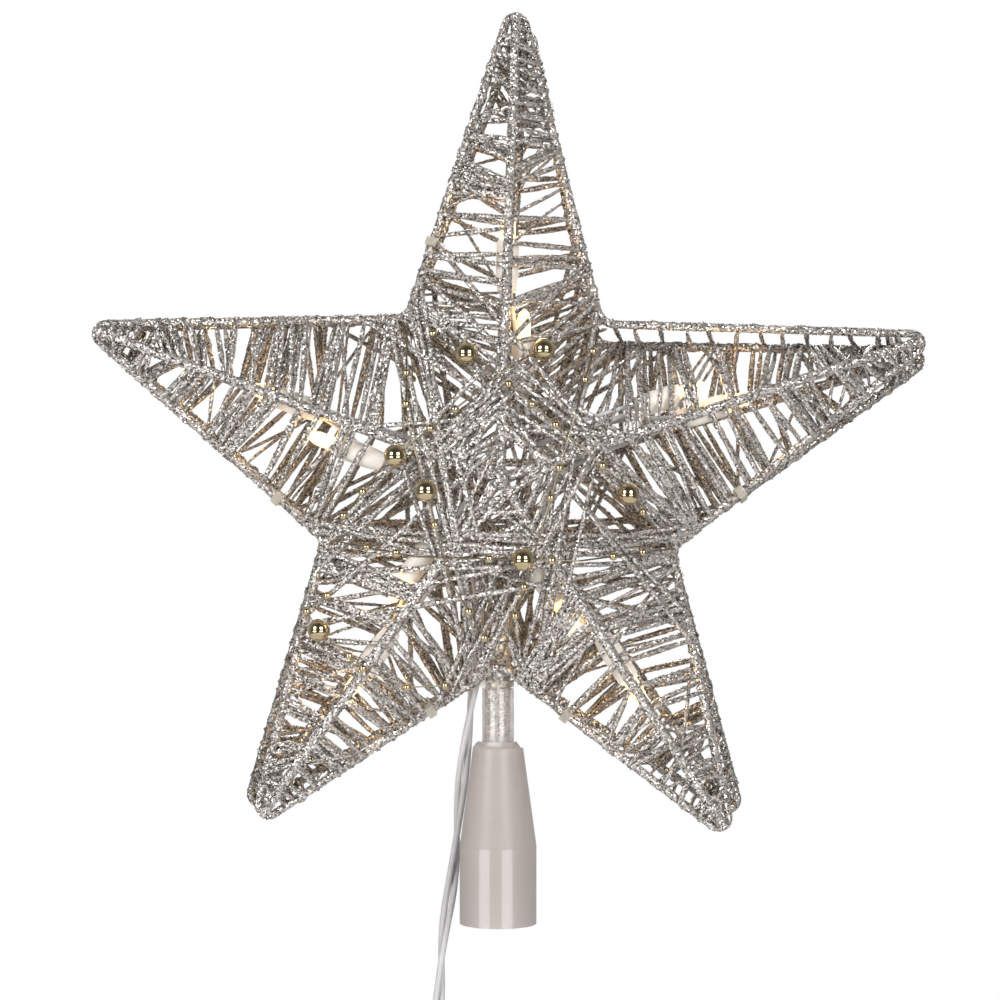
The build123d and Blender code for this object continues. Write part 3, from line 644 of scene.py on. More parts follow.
given = add(strand_tree, "NodeGroupInput").outputs
curves = grow("GeometryNodeMeshToCurve", {"Mesh": given["Lines"]})
evened = grow("GeometryNodeResampleCurve", {"Curve": curves, "Length": given["Step"]}, mode="LENGTH")
thick = grow("GeometryNodeInputNamedAttribute", {"Name": "thick"}, data_type="FLOAT")
ring = grow("GeometryNodeCurvePrimitiveCircle", {"Resolution": given["Sides"], "Radius": given["Radius"]})
body = grow(
    "GeometryNodeCurveToMesh",
    {"Curve": evened, "Profile Curve": ring, "Scale": thick, "Fill Caps": True},
)
lump_noise = grow("ShaderNodeTexNoise", {"Scale": LUMP_SCALE, "Detail": 1.0})
lump_size = reckon(strand_tree, "SUBTRACT", lump_noise, 0.5)
lump_size = reckon(strand_tree, "MULTIPLY", lump_size, given["Lumps"])
lump_push = scaled(strand_tree, grow("GeometryNodeInputNormal"), lump_size)
lumpy = grow("GeometryNodeSetPosition", {"Geometry": body, "Offset": lump_push})
smooth = grow("GeometryNodeSetShadeSmooth", {"Geometry": lumpy})
spots = add(
    strand_tree,
    "GeometryNodeDistributePointsOnFaces",
    {"Mesh": lumpy, "Density": given["Grains a square metre"], "Seed": given["Seed"]},
).outputs
flake = grow(
    "GeometryNodeMeshGrid",
    {"Size X": given["Grain"], "Size Y": given["Grain"], "Vertices X": 2, "Vertices Y": 2},
)
tip_over = grow(
    "FunctionNodeRandomValue",
    {0: [-turn for turn in FLAKE_TURN], 1: FLAKE_TURN, "Seed": given["Seed"]},
    data_type="FLOAT_VECTOR",
)
tip_turn = grow("FunctionNodeEulerToRotation", {0: tip_over})
turned = grow("FunctionNodeRotateRotation", {0: spots["Rotation"], 1: tip_turn}, rotation_space="LOCAL")
flake_size = add(
    strand_tree,
    "FunctionNodeRandomValue",
    {2: FLAKE_SIZES[0], 3: FLAKE_SIZES[1], "Seed": given["Seed"]},
    data_type="FLOAT",
).outputs[1]
flakes = grow(
    "GeometryNodeInstanceOnPoints",
    {"Points": spots["Points"], "Instance": flake, "Rotation": turned, "Scale": flake_size},
)
both = add(strand_tree, "GeometryNodeJoinGeometry")
for part in (grow("GeometryNodeRealizeInstances", {0: flakes}), smooth):
    strand_tree.links.new(part, both.inputs[0])
coated = grow("GeometryNodeSetMaterial", {"Geometry": both.outputs[0], "Material": given["Finish"]})
add(strand_tree, "NodeGroupOutput", {0: coated})
print("tree", len(strand_tree.nodes), "nodes")


# %% Strands to a mesh
def strands(name, stands_for, lines, material, slot, **sizes):
    """Run the tree on lines of (points in mm, thickness), and put its mesh in a CAD node's place."""
    spots, edges, widths = [], [], []
    for points, width in lines:
        first = len(spots)
        spots += [p * MM for p in points]
        widths += width if isinstance(width, list) else [width] * len(points)
        edges += [(i, i + 1) for i in range(first, len(spots) - 1)]
    bare = bpy.data.meshes.new(name)
    bare.from_pydata(spots, edges, [])
    bare.attributes.new("thick", "FLOAT", "POINT").data.foreach_set("value", widths)
    holder = bpy.data.objects.new(name, bare)
    scene.collection.objects.link(holder)
    modifier = holder.modifiers.new("strands", "NODES")
    modifier.node_group = strand_tree
    modifier[tree_socket["Finish"]] = material
    for label, value in sizes.items():
        modifier[tree_socket[label.replace("_", " ")]] = value
    ready = holder.evaluated_get(bpy.context.evaluated_depsgraph_get())
    mesh = bpy.data.meshes.new_from_object(ready)
    mesh.name = name
    bpy.data.objects.remove(holder)
    bpy.data.meshes.remove(bare)
    if "thick" in mesh.attributes:
        mesh.attributes.remove(mesh.attributes["thick"])
    triangles = sum(len(f.vertices) - 2 for f in mesh.polygons)
    print(name, len(lines), "lines,", triangles, "triangles")
    place(name, mesh, "star", slot, stands_for)


def softened(points, rounds=2):
    """Cut the corners of a line, so that a bend round a wire is a bend and not a fold."""
    for _ in range(rounds):
        cut = [points[0]]
        for a, b in zip(points, points[1:]):
            cut += [a * 0.75 + b * 0.25, a * 0.25 + b * 0.75]
        cut.append(points[-1])
        points = cut
    return points


# %% [markdown]
# ## Frame wires
# Each face has a closed star of bent wire and five ridge wires that meet in the middle. They are coated
# with the same glitter as the yarn, a little thicker, so they are coated strands as well.

# %% Coated wires
COATED_WIRE = {
    "material": wire_silver,
    "slot": "glitter_wire",
    "Radius": 0.0015,
    "Sides": 10,
    "Step": 0.0011,
    "Lumps": 0.0003,
    "Grain": 0.00055,
    "Grains_a_square_metre": 1.2e6,
}
# The ridges carry a thicker coat than the outlines, and start at the weld in the middle
RIDGE_THICK = 1.2
RIDGE_FOOT = 3.5
NOTCH_BEND = 7.0
BEND_STEPS = 8
OUTLINE_SEED = 3
RIDGE_SEED = 5


def bent_outline(side):
    """The closed star of one face, with its tips and notches rounded."""
    corners = []
    for arm in ARMS:
        corners.append((tip_corner(arm, side), TIP_BEND))
        corners.append((notch_point(arm_notches(arm)["cw"], side), NOTCH_BEND))
    points = []
    for i, (spot, radius) in enumerate(corners):
        back = (corners[i - 1][0] - spot).normalized()
        on = (corners[(i + 1) % len(corners)][0] - spot).normalized()
        half = (math.pi - back.angle(on)) / 2
        middle = spot + (back + on).normalized() * (radius / math.cos(half))
        start = spot + back * (radius * math.tan(half))
        end = spot + on * (radius * math.tan(half))
        for k in range(BEND_STEPS + 1):
            swing = (start - middle).slerp(end - middle, k / BEND_STEPS)
            points.append(middle + swing.normalized() * radius)
    return points + points[:1]


for side in SIDES:
    lines = [(bent_outline(side), 1.0)]
    strands(f"{side}_outline_wire", f"{side}_outline", lines, Seed=OUTLINE_SEED, **COATED_WIRE)
    for arm in ARMS:
        start = ridge_point(arm, RIDGE_FOOT, side)
        end = ridge_point(arm, arm_reach(arm, side) - 2 * WIRE_R, side)
        lines = [([start, (start + end) / 2, end], RIDGE_THICK)]
        strands(f"{side}_ridge_wire_{arm}", f"{side}_ridge_{arm}", lines, Seed=RIDGE_SEED, **COATED_WIRE)
    finish_node(f"{side}_hub", wire_silver)

# %% [markdown]
# ## Hand-wound yarn
# A facet lies between a ridge and one leg of the outline. Its yarn goes to and fro between the two wires,
# turns round each, and often spirals along the wire before it leaves again. Nothing is even: strands
# bunch up, lean and cross, which a seeded random draw gives. A second kind of winding ties the front
# outline to the back one with a few rungs, and a third binds the tip.

# %% Winding helpers
YARN_R = 0.85
# How far the yarn's line stays from a wire's, and from a ridge's, where it sinks into the coat
GRIP = WIRE_R + 0.2
RIDGE_GRIP = WIRE_R - 0.3
# Thickness where the yarn turns round a wire, and the step along a wire that takes a whole turn more
PRESSED = 0.6
SPIRAL_FROM = 9.0
HALF_TURN_STEPS = 3
# Steps in a bunch and between bunches, how often a bunch ends, and how far bunches lean
CLOSE = (0.25, 0.35, 0.45, 0.6)
APART = (1.7, 2.6)
BREAKS = 0.3
LEAN = 3.5


def clumped(count, rng):
    """Shares from 0 to 1 that bunch up and leave gaps, and how far each bunch leans."""
    total, shares, leans = 0.0, [], [rng.gauss(0, LEAN)]
    for _ in range(count):
        shares.append(total)
        broken = rng.random() < BREAKS
        total += rng.uniform(*APART) if broken else rng.choice(CLOSE)
        leans.append(rng.gauss(0, LEAN) if broken else leans[-1])
    return [s / shares[-1] for s in shares], leans


def turn_round(wire, toward, outward, start, end, front_first, grip):
    """Points of a yarn that turns round a wire, from its front to behind it or the other way."""
    axis = (wire(start + 1) - wire(start)).normalized()
    away = perpendicular(wire(start) - toward, axis)
    face = axis.cross(away)
    if face.dot(outward) < 0:
        face = -face
    halves = 3 if abs(end - start) >= SPIRAL_FROM else 1
    steps = HALF_TURN_STEPS * halves
    points = []
    for k in range(steps + 1):
        angle = math.pi * halves * k / steps
        if not front_first:
            angle = math.pi - angle
        spot = wire(start + (end - start) * k / steps)
        points.append(spot + (face * math.cos(angle) + away * math.sin(angle)) * grip)
    return points


def evenly(count, _):
    """Shares from 0 to 1 that are even, with no lean and no draw."""
    return [k / (count - 1) for k in range(count)], [0] * count


def zigzag(wires, spans, count, jitter, outward, rng, over=None, grip=GRIP, lay=clumped):
    """One yarn to and fro between two wires, and its thickness, pressed flat where it turns."""
    shares, leans = lay(count, rng)
    spots = [[], []]
    for which in (0, 1):
        low, high = spans[which]
        for share, lean in zip(shares, leans):
            spot = low + (high - low) * share + rng.gauss(0, jitter) + lean * which
            spots[which].append(min(max(spot, min(low, high)), max(low, high)))
    # Back at a ridge a strand comes in level with it, so that it clears the lamp behind
    under = 0 if over else -GRIP
    points, widths = [], []
    for k in range(count):
        here, there = k % 2, 1 - k % 2
        forth = here == 0
        leave = wires[here](spots[here][k])
        arrive = wires[there](spots[there][k])
        if k == 0:
            points.append(leave + outward * GRIP)
            widths.append(PRESSED)
        if over:
            points += over(leave, arrive)
        level = outward * (GRIP if forth else under)
        points.append((points[-1] + arrive + level) / 2)
        widths += [1.0] * (len(points) - len(widths))
        if k + 1 < count:
            bend = spots[there][k : k + 2]
            held_off = GRIP if forth else grip
            points += turn_round(wires[there], leave, outward, *bend, forth, held_off)
        else:
            points.append(arrive)
        widths += [PRESSED] * (len(points) - len(widths))
    return softened(points), softened(widths)


print("yarn", 2 * YARN_R, "mm")

# %% Taut strands over what lies below
# How far beside its axis a lamp is felt as well, and the room for half a strand above it
LAMP_SHOULDER = 2.8
STRAND_ROOM = 1.3
END_SHARE = 0.03
PARALLEL = 1e-9


def crossing(p, q, a, b):
    """Shares at which two lines cross in the star's plan, or nothing."""
    r, s = q - p, b - a
    under = r.x * s.z - r.z * s.x
    if abs(under) < PARALLEL:
        return None
    d = a - p
    return (d.x * s.z - d.z * s.x) / under, (d.x * r.z - d.z * r.x) / under


def obstacles(side):
    """Lines that a strand of this face rests on, with how far it stays above them."""
    lines = []
    for arm in ARMS:
        end = arm_reach(arm, side) - 2 * WIRE_R
        lines.append((ridge_point(arm, 0, side), ridge_point(arm, end, side), GRIP))
        if side == "front":
            for spot in LAMP_DROP:
                for across in (-LAMP_SHOULDER, 0.0, LAMP_SHOULDER):
                    clear = math.sqrt((HUSK_D / 2) ** 2 - across**2) + STRAND_ROOM
                    ends = [lamp_point(arm, spot, along, across) for along in (0, LAMP_REACH)]
                    lines.append((*ends, clear))
    return lines


RESTS = {side: obstacles(side) for side in SIDES}


def taut(p, q, side, lift=0.0):
    """Points where a strand pulled from p to q is held up from below."""
    sign = SIDES[side]
    marks = [(0.0, p.y * sign), (1.0, q.y * sign)]
    for a, b, clear in RESTS[side]:
        met = crossing(p, q, a, b)
        if met and END_SHARE < met[0] < 1 - END_SHARE and 0 <= met[1] <= 1:
            marks.append((met[0], (a.y + (b.y - a.y) * met[1]) * sign + clear + lift))
    marks.sort()
    hull = []
    for mark in marks:
        while len(hull) > 1:
            (s0, h0), (s1, h1) = hull[-2], hull[-1]
            if (h1 - h0) * (mark[0] - s0) <= (mark[1] - h0) * (s1 - s0):
                hull.pop()
            else:
                break
        hull.append(mark)
    return [Vector((p.x + (q.x - p.x) * s, sign * h, p.z + (q.z - p.z) * s)) for s, h in hull[1:-1]]


print("rests", {side: len(lines) for side, lines in RESTS.items()})

# %% Arm yarn
LEGS = ("cw", "ccw")
# Strands on the clockwise and the counter-clockwise facet of each arm, front and back
STRANDS = {
    "top": ((28, 34), (24, 24)),
    "left": ((40, 34), (28, 26)),
    "right": ((34, 28), (24, 28)),
    "lower_left": ((30, 28), (24, 24)),
    "lower_right": ((30, 28), (26, 24)),
}
# Facets of the front whose yarn is fixed to the back outline, so that the front one stands clear
FIXED_BEHIND = {("right", "ccw")}
# Where the yarn starts on each wire, along the arm, and how far from the tip it ends
LEG_START = 55.0
RIDGE_START = 47.0
TIP_GAP = 9.0
RIDGE_TIP_GAP = 2.0
FACET_JITTER = 1.2
MAIN_YARN = 1.35
# A few thin strands cross over the main ones
THIN_YARN = 0.8
THIN_STRANDS = 6
THIN_JITTER = 8.0
THIN_STARTS = (55.0, 61.0)
THIN_TIP_GAP = 24.0
# Rungs between the two outlines: their layout, jitter and thickness, on an open leg and on others
RUNGS = 12
RUNG_TIP_GAP = 16.0
OPEN_RUNGS = (evenly, 0.8, 1.15)
HIDDEN_RUNGS = (clumped, 2.0, THIN_YARN)
STEM_CLEAR = {"lower_left": 72.0, "lower_right": 68.0}
# Loops that bind the tip
TIP_LOOPS = 3
TIP_LOOP_START = 7.0
TIP_LOOP_PITCH = 3.0
TIP_YARN = 0.85
TIP_WIRES = (
    ("ridge", "front"),
    ("cw", "front"),
    ("cw", "back"),
    ("ridge", "back"),
    ("ccw", "back"),
    ("ccw", "front"),
)
ARM_DRAW = 100


def yarn_between(arm, wires, reach, spans, count, jitter, thick, rng, **more):
    """One yarn between two wires of an arm, wound round them from outside, and its thickness."""
    middle = arm_point(arm, ARMS[arm][0] / 2, 0, 0)
    outward = ((wires[0](reach / 2) + wires[1](reach / 2)) / 2 - middle).normalized()
    yarn, shape = zigzag(wires, spans, count, jitter, outward, rng, **more)
    return yarn, [thick * k for k in shape]


def facet_lines(arm, side, leg, count, rng):
    """The yarn between a ridge and one leg of an outline: thick strands, then a few thin ones."""
    reach = arm_reach(arm, side)
    held_by = "back" if (arm, leg) in FIXED_BEHIND else side
    wires = (partial(ridge_point, arm, side=side), partial(leg_point, arm, leg, side=held_by))
    rests = {"over": partial(taut, side=side), "grip": RIDGE_GRIP}
    main = ((RIDGE_START, reach - TIP_GAP - RIDGE_TIP_GAP), (LEG_START, reach - TIP_GAP))
    thin = [(start, reach - THIN_TIP_GAP) for start in THIN_STARTS]
    return [
        yarn_between(arm, wires, reach, main, count, FACET_JITTER, MAIN_YARN, rng, **rests),
        yarn_between(arm, wires, reach, thin, THIN_STRANDS, THIN_JITTER, THIN_YARN, rng, **rests),
    ]


def rung_line(arm, leg, rng):
    """The yarn that ties the front outline to the back one along a leg."""
    wires = [partial(leg_point, arm, leg, side=side) for side in SIDES]
    reach = arm_reach(arm, "back")
    root = STEM_CLEAR[arm] if arm_notches(arm)[leg] == "bottom" else LEG_START
    span = (root, reach - RUNG_TIP_GAP)
    lay, jitter, thick = OPEN_RUNGS if (arm, leg) in FIXED_BEHIND else HIDDEN_RUNGS
    return yarn_between(arm, wires, reach, (span, span), RUNGS, jitter, thick, rng, lay=lay)


def tip_binding(arm):
    """Loops of yarn round all six wires at the tip."""
    points = []
    for step in range(TIP_LOOPS * len(TIP_WIRES)):
        wire, side = TIP_WIRES[step % len(TIP_WIRES)]
        along = arm_reach(arm, side) - TIP_LOOP_START - TIP_LOOP_PITCH * step / len(TIP_WIRES)
        spot = ridge_point(arm, along, side) if wire == "ridge" else leg_point(arm, wire, along, side)
        points.append(spot + (spot - arm_point(arm, along, 0, 0)).normalized() * GRIP)
    return softened(points)


def arm_lines(arm, rng):
    """All the yarn of one arm."""
    lines = []
    for side, counts in zip(SIDES, STRANDS[arm]):
        for leg, count in zip(LEGS, counts):
            lines += facet_lines(arm, side, leg, count, rng)
    lines += [rung_line(arm, leg, rng) for leg in LEGS]
    return lines + [(tip_binding(arm), TIP_YARN)]


YARN = {
    "material": yarn_silver,
    "slot": "glitter_yarn",
    "Radius": YARN_R * MM,
    "Sides": 6,
    "Step": 0.0017,
    "Lumps": 0.0004,
    "Grain": 0.00055,
    "Grains_a_square_metre": 1.0e6,
}
for number, arm in enumerate(ARMS):
    lines = arm_lines(arm, random.Random(ARM_DRAW + number))
    strands(f"yarn_{arm}", f"winding_{arm}", lines, Seed=number + 1, **YARN)

# %% [markdown]
# ## Yarn across the middle
# Over the middle of each face the yarn runs from notch to notch but one, in five bundles that cross, and
# rests on the ridges. Shorter strands run from ridge to ridge, and a fan comes up from the stem.

# %% Middle yarn
# Strands of each bundle on the front, which is open, and on the back, which is dense
CHORDS = (
    ("upper_left", "side_right", (8, 12)),
    ("side_right", "side_left", (10, 13)),
    ("side_left", "upper_right", (8, 12)),
    ("upper_right", "bottom", (6, 10)),
    ("bottom", "upper_left", (6, 10)),
)
NOTCH_SPREAD = 12.0
STEM_SIDE = 5.5
CHORD_LIFT = 0.5
MIDDLE_YARN = (0.85, 1.25)
# Strands from ridge to ridge on each face, where they are tied, and how many arms on they go
RIDGE_TIES = (18, 40)
TIE_SPAN = (8, 52)
ARMS_ON = (1, 1, 2)
# Strands of the fan on each face, and where it starts and ends
FAN = (12, 14)
FAN_FOOT = (STEM_SIDE, 18)
FAN_WIDTH = (-28, 28)
FAN_TOP = (132, 141)
FAN_DEPTH = ridge_depth("lower_left", 30) + 1
FAN_LIFT = 0.5
FAN_SINK = 3
FAN_YARN = (0.8, 1.0)
MIDDLE_DRAW = 200
MIDDLE_SEED = 11


def notch_spot(name, side, rng):
    """A point on an outline near a notch."""
    arm = rng.choice(NOTCHES[name][:2])
    leg = "cw" if arm_notches(arm)["cw"] == name else "ccw"
    held_by = "back" if (arm, leg) in FIXED_BEHIND else side
    corner = notch_point(name, held_by)
    away = abs(rng.gauss(0, NOTCH_SPREAD)) + (STEM_SIDE if name == "bottom" else 0)
    return corner + (tip_corner(arm, held_by) - corner).normalized() * away


def held(spot, side):
    """Three points that take a strand round an outline wire, from behind to its front."""
    face = Vector((0, SIDES[side], 0))
    out = spot - CENTRE
    out.y = 0
    out.normalize()
    return [spot - face * GRIP, spot + out * GRIP, spot + face * GRIP]


def laid(start, end, side, lift):
    """A strand from its start to its end, over what lies between them."""
    return softened(start + taut(start[-1], end[0], side, lift) + end)


def middle_lines(side, rng):
    """All the yarn across the middle of one face."""
    face = Vector((0, SIDES[side], 0))
    which = 0 if side == "front" else 1
    lines = []
    for level, (a, b, counts) in enumerate(CHORDS):
        for _ in range(counts[which]):
            p, q = notch_spot(a, side, rng), notch_spot(b, side, rng)
            lift = (level + rng.random() * 2) * CHORD_LIFT
            start, end = held(p, side), held(q, side)[::-1]
            lines.append((laid(start, end, side, lift), rng.uniform(*MIDDLE_YARN)))
    arms = list(ARMS)
    for _ in range(RIDGE_TIES[which]):
        i = rng.randrange(len(arms))
        j = (i + rng.choice(ARMS_ON)) % len(arms)
        p = ridge_point(arms[i], rng.uniform(*TIE_SPAN), side)
        q = ridge_point(arms[j], rng.uniform(*TIE_SPAN), side)
        start, end = [p - face * GRIP, p + face * GRIP], [q + face * GRIP, q - face * GRIP]
        lines.append((laid(start, end, side, rng.random()), rng.uniform(*MIDDLE_YARN)))
    for k in range(FAN[which]):
        corner = notch_point("bottom", side)
        arm = "lower_left" if k % 2 else "lower_right"
        p = corner + (tip_corner(arm, side) - corner).normalized() * rng.uniform(*FAN_FOOT)
        x = rng.uniform(*FAN_WIDTH)
        q = Vector((x, SIDES[side] * FAN_DEPTH, rng.uniform(*FAN_TOP)))
        end = [q, q - face * FAN_SINK]
        lines.append((laid(held(p, side), end, side, FAN_LIFT), rng.uniform(*FAN_YARN)))
    return lines


LOOSER_YARN = YARN | {"Step": 0.0022, "Grains_a_square_metre": 0.9e6}
for number, side in enumerate(SIDES):
    lines = middle_lines(side, random.Random(MIDDLE_DRAW + number))
    seed = MIDDLE_SEED + number
    strands(f"yarn_middle_{side}", f"{side}_middle_winding", lines, Seed=seed, **LOOSER_YARN)

# %% [markdown]
# ## Lamps, leads and their glow
# Husks are milky plastic sleeves with a faint painted glow, as if lit by their bulbs, and a small push-in
# bulb shines at the end of each. A tiny warm lamp sits in each bulb and moves with it, because the glow on
# the yarn beside a bulb is what shows it is lit.

# %% Lamp finishes
# Milky polyethylene: moulded, lets some light through. Its faint warm emission is painted glow that stands
# in for its bulb's light in the sleeve.
husk_painted_glow = {"Emission_Color": linear("#fff1de"), "Emission_Strength": 0.1}
husk_white = uneven(
    "milky polyethylene", "#efe8df", "#fbf7f2", 4.0, 0.38, Transmission_Weight=0.1, IOR=1.5, **husk_painted_glow
)
# Lit glass: the filament's light fills the small bulb
bulb_glow = {"Emission_Color": linear("#ffdca4"), "Emission_Strength": 1.5}
bulb_glass = uneven("lit warm glass", "#ffe2b4", "#fff2dc", 2.0, 0.2, **bulb_glow)
# Middle of a bulb from its husk's back, in mm, and the size of the glow in it, in metres
BULB_MIDDLE = 25.0
GLOW_SIZE = 0.004
# The inner lamps are sunk in the middle's yarn, which takes much of their light
GLOW_WATTS = {"outer": 0.032, "inner": 0.016}
for arm in ARMS:
    for spot in LAMP_DROP:
        finish_node(f"husk_{arm}_{spot}", husk_white)
        finish_node(f"bulb_{arm}_{spot}", bulb_glass)
        glow = bpy.data.lights.new(f"glow_{arm}_{spot}", "POINT")
        glow.energy = GLOW_WATTS[spot]
        glow.color = linear("#ffc777")[:3]
        glow.shadow_soft_size = GLOW_SIZE
        lamp = bpy.data.objects.new(glow.name, glow)
        lamp.location = lamp_point(arm, spot, BULB_MIDDLE) * MM
        scene.collection.objects.link(lamp)
        lamp.parent = frame["bodies"][f"bulb_{arm}_{spot}"]
print("glow lamps", len(ARMS) * len(LAMP_DROP))

# %% Leads between the lamps
LEAD_R = 0.9
LEAD_SPACING = 2.8
LEAD_GAP = 0.1
order = list(ARMS)


def lamp_back(arm, spot, hand):
    """Where a lead enters a husk's back, and the husk's direction."""
    start = lamp_point(arm, spot, 0, hand * LEAD_SPACING / 2)
    ahead = (lamp_point(arm, spot, 1) - lamp_point(arm, spot, 0)).normalized()
    return start - ahead * LEAD_GAP, ahead


# From the outer lamp of an arm to its inner one
LINK_OUT = 3.0
LINK_START = 18.0
LINK_DEPTH = 9.5
LINK_TURN = 13.0
# From an arm to the next one: where inner leads meet, and where outer ones cross over
MEET = 21.0
OUTER_RUN = 12.0
CROSS_OVER = 19.0
CROSS_SIDE = 3.2
CROSS_DEPTH = 18.0
# From the cord to the first and the last lamp
FEED_SIDE = Vector((LEAD_SPACING * 0.375, 0, 0))
FEED_RISE = Vector((0, 0, 6))
FIRST_TURNS = ((35, 14.5, 8), (30, 4.5, 13))
LAST_TURNS = ((-6.5, -16, -26), (1.5, -20, -17))
FIRST_RUN = 12.0
LAST_RUN = 7.0

leads = []
for arm in order:
    inner_start, sidestep = INNER_LAMPS[arm]
    hand = math.copysign(1, sidestep)
    start, away = lamp_back(arm, "outer", hand)
    stop, home = lamp_back(arm, "inner", -hand)
    across = sidestep - hand * LEAD_SPACING / 2
    low = [arm_point(arm, along, across, LINK_DEPTH) for along in (OUTER_LAMP[0] - LINK_START, LINK_TURN)]
    leads.append([start, start - away * LINK_OUT, *low, stop - home * (inner_start - LINK_TURN), stop])
for arm, following in zip(order, order[1:]):
    spot = "inner" if INNER_LAMPS[arm][1] < INNER_LAMPS[following][1] else "outer"
    start, away = lamp_back(arm, spot, -1)
    stop, home = lamp_back(following, spot, 1)
    if spot == "inner":
        turns = [
            start - away * (INNER_LAMPS[arm][0] - MEET),
            stop - home * (INNER_LAMPS[following][0] - MEET),
        ]
    else:
        turns = [
            start - away * OUTER_RUN,
            arm_point(arm, CROSS_OVER, -CROSS_SIDE, CROSS_DEPTH),
            arm_point(following, CROSS_OVER, CROSS_SIDE, CROSS_DEPTH),
            stop - home * OUTER_RUN,
        ]
    leads.append([start, *turns, stop])
first_turns = [arm_point(order[0], *turn) for turn in FIRST_TURNS]
last_turns = [CENTRE + Vector(turn) for turn in LAST_TURNS]
for feed, turns, run, (stop, home) in (
    (Vector(CORD_ROUTE[0]) - FEED_SIDE, first_turns, FIRST_RUN, lamp_back(order[0], "outer", 1)),
    (Vector(CORD_ROUTE[0]) + FEED_SIDE, last_turns, LAST_RUN, lamp_back(order[-1], "inner", -1)),
):
    leads.append([feed, feed + FEED_RISE, *turns, stop - home * run, stop])
lead_mesh = wire_mesh("lamp_wires", [smooth_line(points) for points in leads], LEAD_R * MM, pvc)
place("lamp_wires", lead_mesh, "star", "white_lead", "lamp_leads")
print("leads", len(leads))

# %% [markdown]
# ## Beads, cone, stem, ties and plug
# These keep their solids. Gold beads are plated, so they mirror the room. The cone is frosted plastic
# that lets the light through, with the glitter stem showing in its neck. The ties are natural nylon.

# %% Hard finishes
# Gold-plated plastic: mirror-like, slightly uneven plating
gold = uneven("gold plating", "#c9b28a", "#e9d9b6", 1.6, 0.14, 0.04, Metallic=1.0)
garland_gold = uneven("drawn gold wire", "#857b64", "#a79d85", 3.0, 0.3, Metallic=1.0)

# Frosted polypropylene: injection moulded, warm grey and translucent
clear_coat = {"Coat_Weight": 0.7, "Coat_Roughness": 0.06}
frosted = uneven("frosted polypropylene", "#cbc1bc", "#d7cec9", 14.0, 0.35, IOR=1.49, **clear_coat)
# The neck is thin enough to see the stem through, and the cone below it is milky
NECK_STARTS = (0.061, 0.069)
frosted_tree = frosted.node_tree
frosted_sockets = frosted_tree.nodes["Principled BSDF"].inputs
frosted_height = component(frosted_tree, "Object", "Z")
for label, in_cone, in_neck in (("Transmission Weight", 0.3, 0.8), ("Roughness", 0.35, 0.15)):
    change = ranged(frosted_tree, frosted_height, *NECK_STARTS, in_cone, in_neck)
    frosted_tree.links.new(change, frosted_sockets[label])
cone_tone = frosted_sockets["Base Color"].links[0].from_socket
neck_share = ranged(frosted_tree, frosted_height, *NECK_STARTS, 0.0, 1.0)
frosted_tree.links.new(
    blend(frosted_tree, neck_share, cone_tone, linear("#f1ece8")), frosted_sockets["Base Color"]
)

# Greys of the stem's grains: partly their own tone, partly painted glint from dark to white
STEM_SILVER = ((0.0, "#77716d"), (0.25, "#b5afaa"), (0.5, "#e6e1dc"), (0.75, "#ffffff"))
stem_silver = glitter("silver glitter stem", STEM_SILVER, 0.7, 0.6, 0.32, 1.1)

# Natural nylon: moulded, milky and slightly clear. The stem's tie is thinner, so the stem shows in it
nylon = uneven("natural nylon", "#dfd8c8", "#ece7dc", 3.0, 0.3, Transmission_Weight=0.6, IOR=1.53)
clear_nylon = uneven("clear nylon", "#e9e4da", "#f4f0e8", 3.0, 0.2, Transmission_Weight=0.9, IOR=1.53)

plug_white = uneven("white moulded PVC", "#dedddb", "#ebeae8", 12.0, 0.42, IOR=1.52)
brass = uneven("bright brass", "#b89a55", "#d2b670", 5.0, 0.26, Metallic=1.0)
fuse_glass = uneven("clear glass", "#dfe8e8", "#eef4f4", 3.0, 0.05, 0.02, Transmission_Weight=0.8, IOR=1.5)

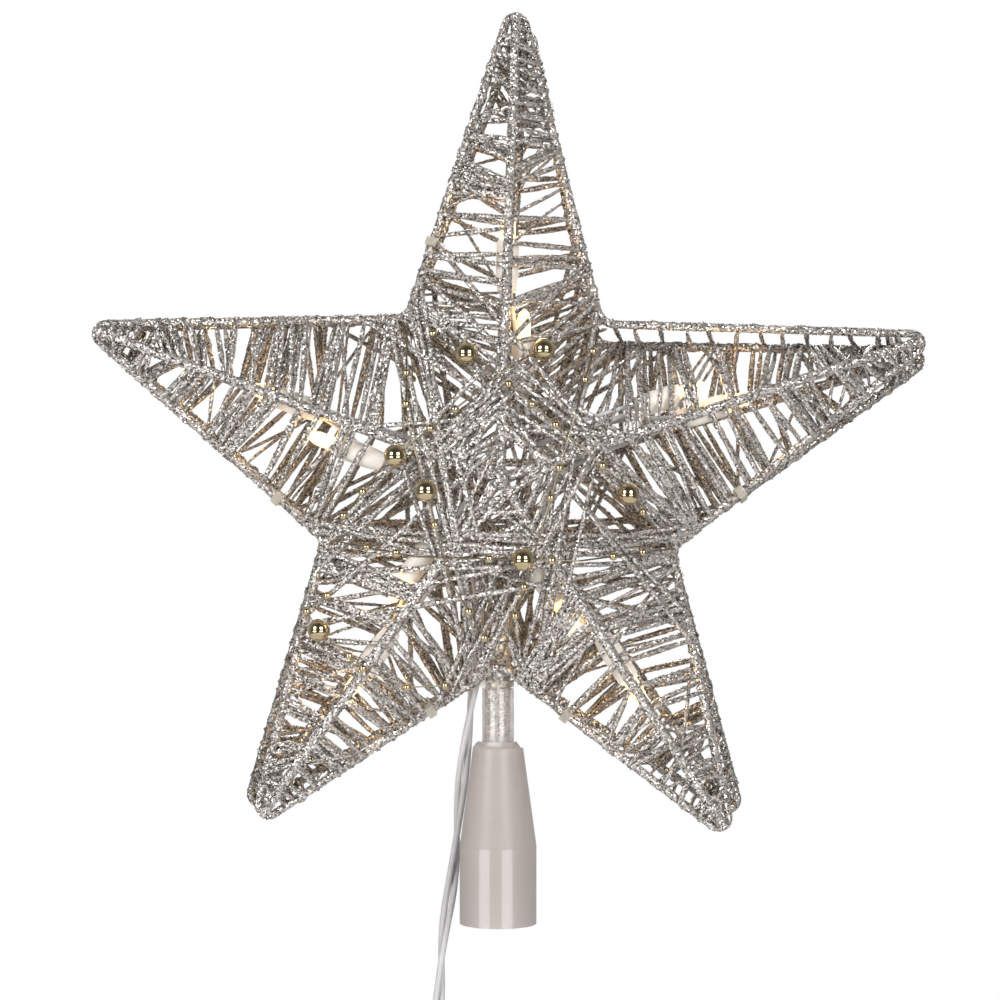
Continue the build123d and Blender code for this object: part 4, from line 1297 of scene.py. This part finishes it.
HARD_FINISHES = (
    (gold, "large_beads", "small_beads"),
    (garland_gold, "front_garland_wire", "back_garland_wire"),
    (frosted, "cone_base"),
    (stem_silver, "stem"),
    (nylon, "cable_ties", "coil_tie"),
    (clear_nylon, "stem_tie"),
    (plug_white, "plug_body", "fuse_door"),
    (brass, "plug_blades"),
    (fuse_glass, "plug_fuses"),
)
for finish, *names in HARD_FINISHES:
    for name in names:
        finish_node(name, finish)
print("hard finishes", len(HARD_FINISHES))

# %% [markdown]
# ## Loose end of the garland
# One end of the bead string lies over the lower-left arm: a thin wire with a large bead and small ones
# that rests on the arm's yarn and ends at its lower edge.

# %% Loose bead strand
# Places of the beads in the star's plan, and their diameters
LOOSE_BEADS = (
    (-60.6, 118.0, 3.0),
    (-68.0, 112.3, 3.0),
    (-63.4, 106.0, 8.0),
    (-52.4, 97.1, 3.0),
    (-47.4, 92.8, 3.0),
    (-32.2, 85.8, 3.0),
    (-18.8, 86.1, 3.0),
)
LOOSE_WIRE_R = 0.25
YARN_COAT = 2.2


def lie_on(arm, x, z):
    """Depth of an arm's yarn in front of the star's plane, at a place in its plan."""
    a = bearing(arm, "front")
    dx, dz = x - CENTRE.x, z - CENTRE.z
    along = dx * math.cos(a) + dz * math.sin(a)
    across = dz * math.cos(a) - dx * math.sin(a)
    edge = leg_point(arm, "ccw" if across > 0 else "cw", along, "front") - CENTRE
    width = abs(edge.z * math.cos(a) - edge.x * math.sin(a))
    share = min(1, abs(across) / width)
    ridge = ridge_depth(arm, along)
    return ridge + (OUTLINE_DEPTH - ridge) * share + YARN_COAT


loose = bmesh.new()
loose_line = []
for x, z, size in LOOSE_BEADS:
    spot = Vector((x, -lie_on("lower_left", x, z) - size / 2, z)) * MM
    loose_line.append(spot)
    bmesh.ops.create_uvsphere(
        loose, u_segments=32, v_segments=20, radius=size / 2 * MM, matrix=Matrix.Translation(spot)
    )
loose_mesh = bpy.data.meshes.new("loose_beads")
loose.to_mesh(loose_mesh)
loose.free()
loose_mesh.materials.append(gold)
for face in loose_mesh.polygons:
    face.use_smooth = True
place("loose_beads", loose_mesh, "star", "gold_bead")
loose_wire = wire_mesh("loose_bead_wire", [loose_line], LOOSE_WIRE_R * MM, garland_gold)
place("loose_bead_wire", loose_wire, "star", "gold_wire")
print("loose beads", len(LOOSE_BEADS))
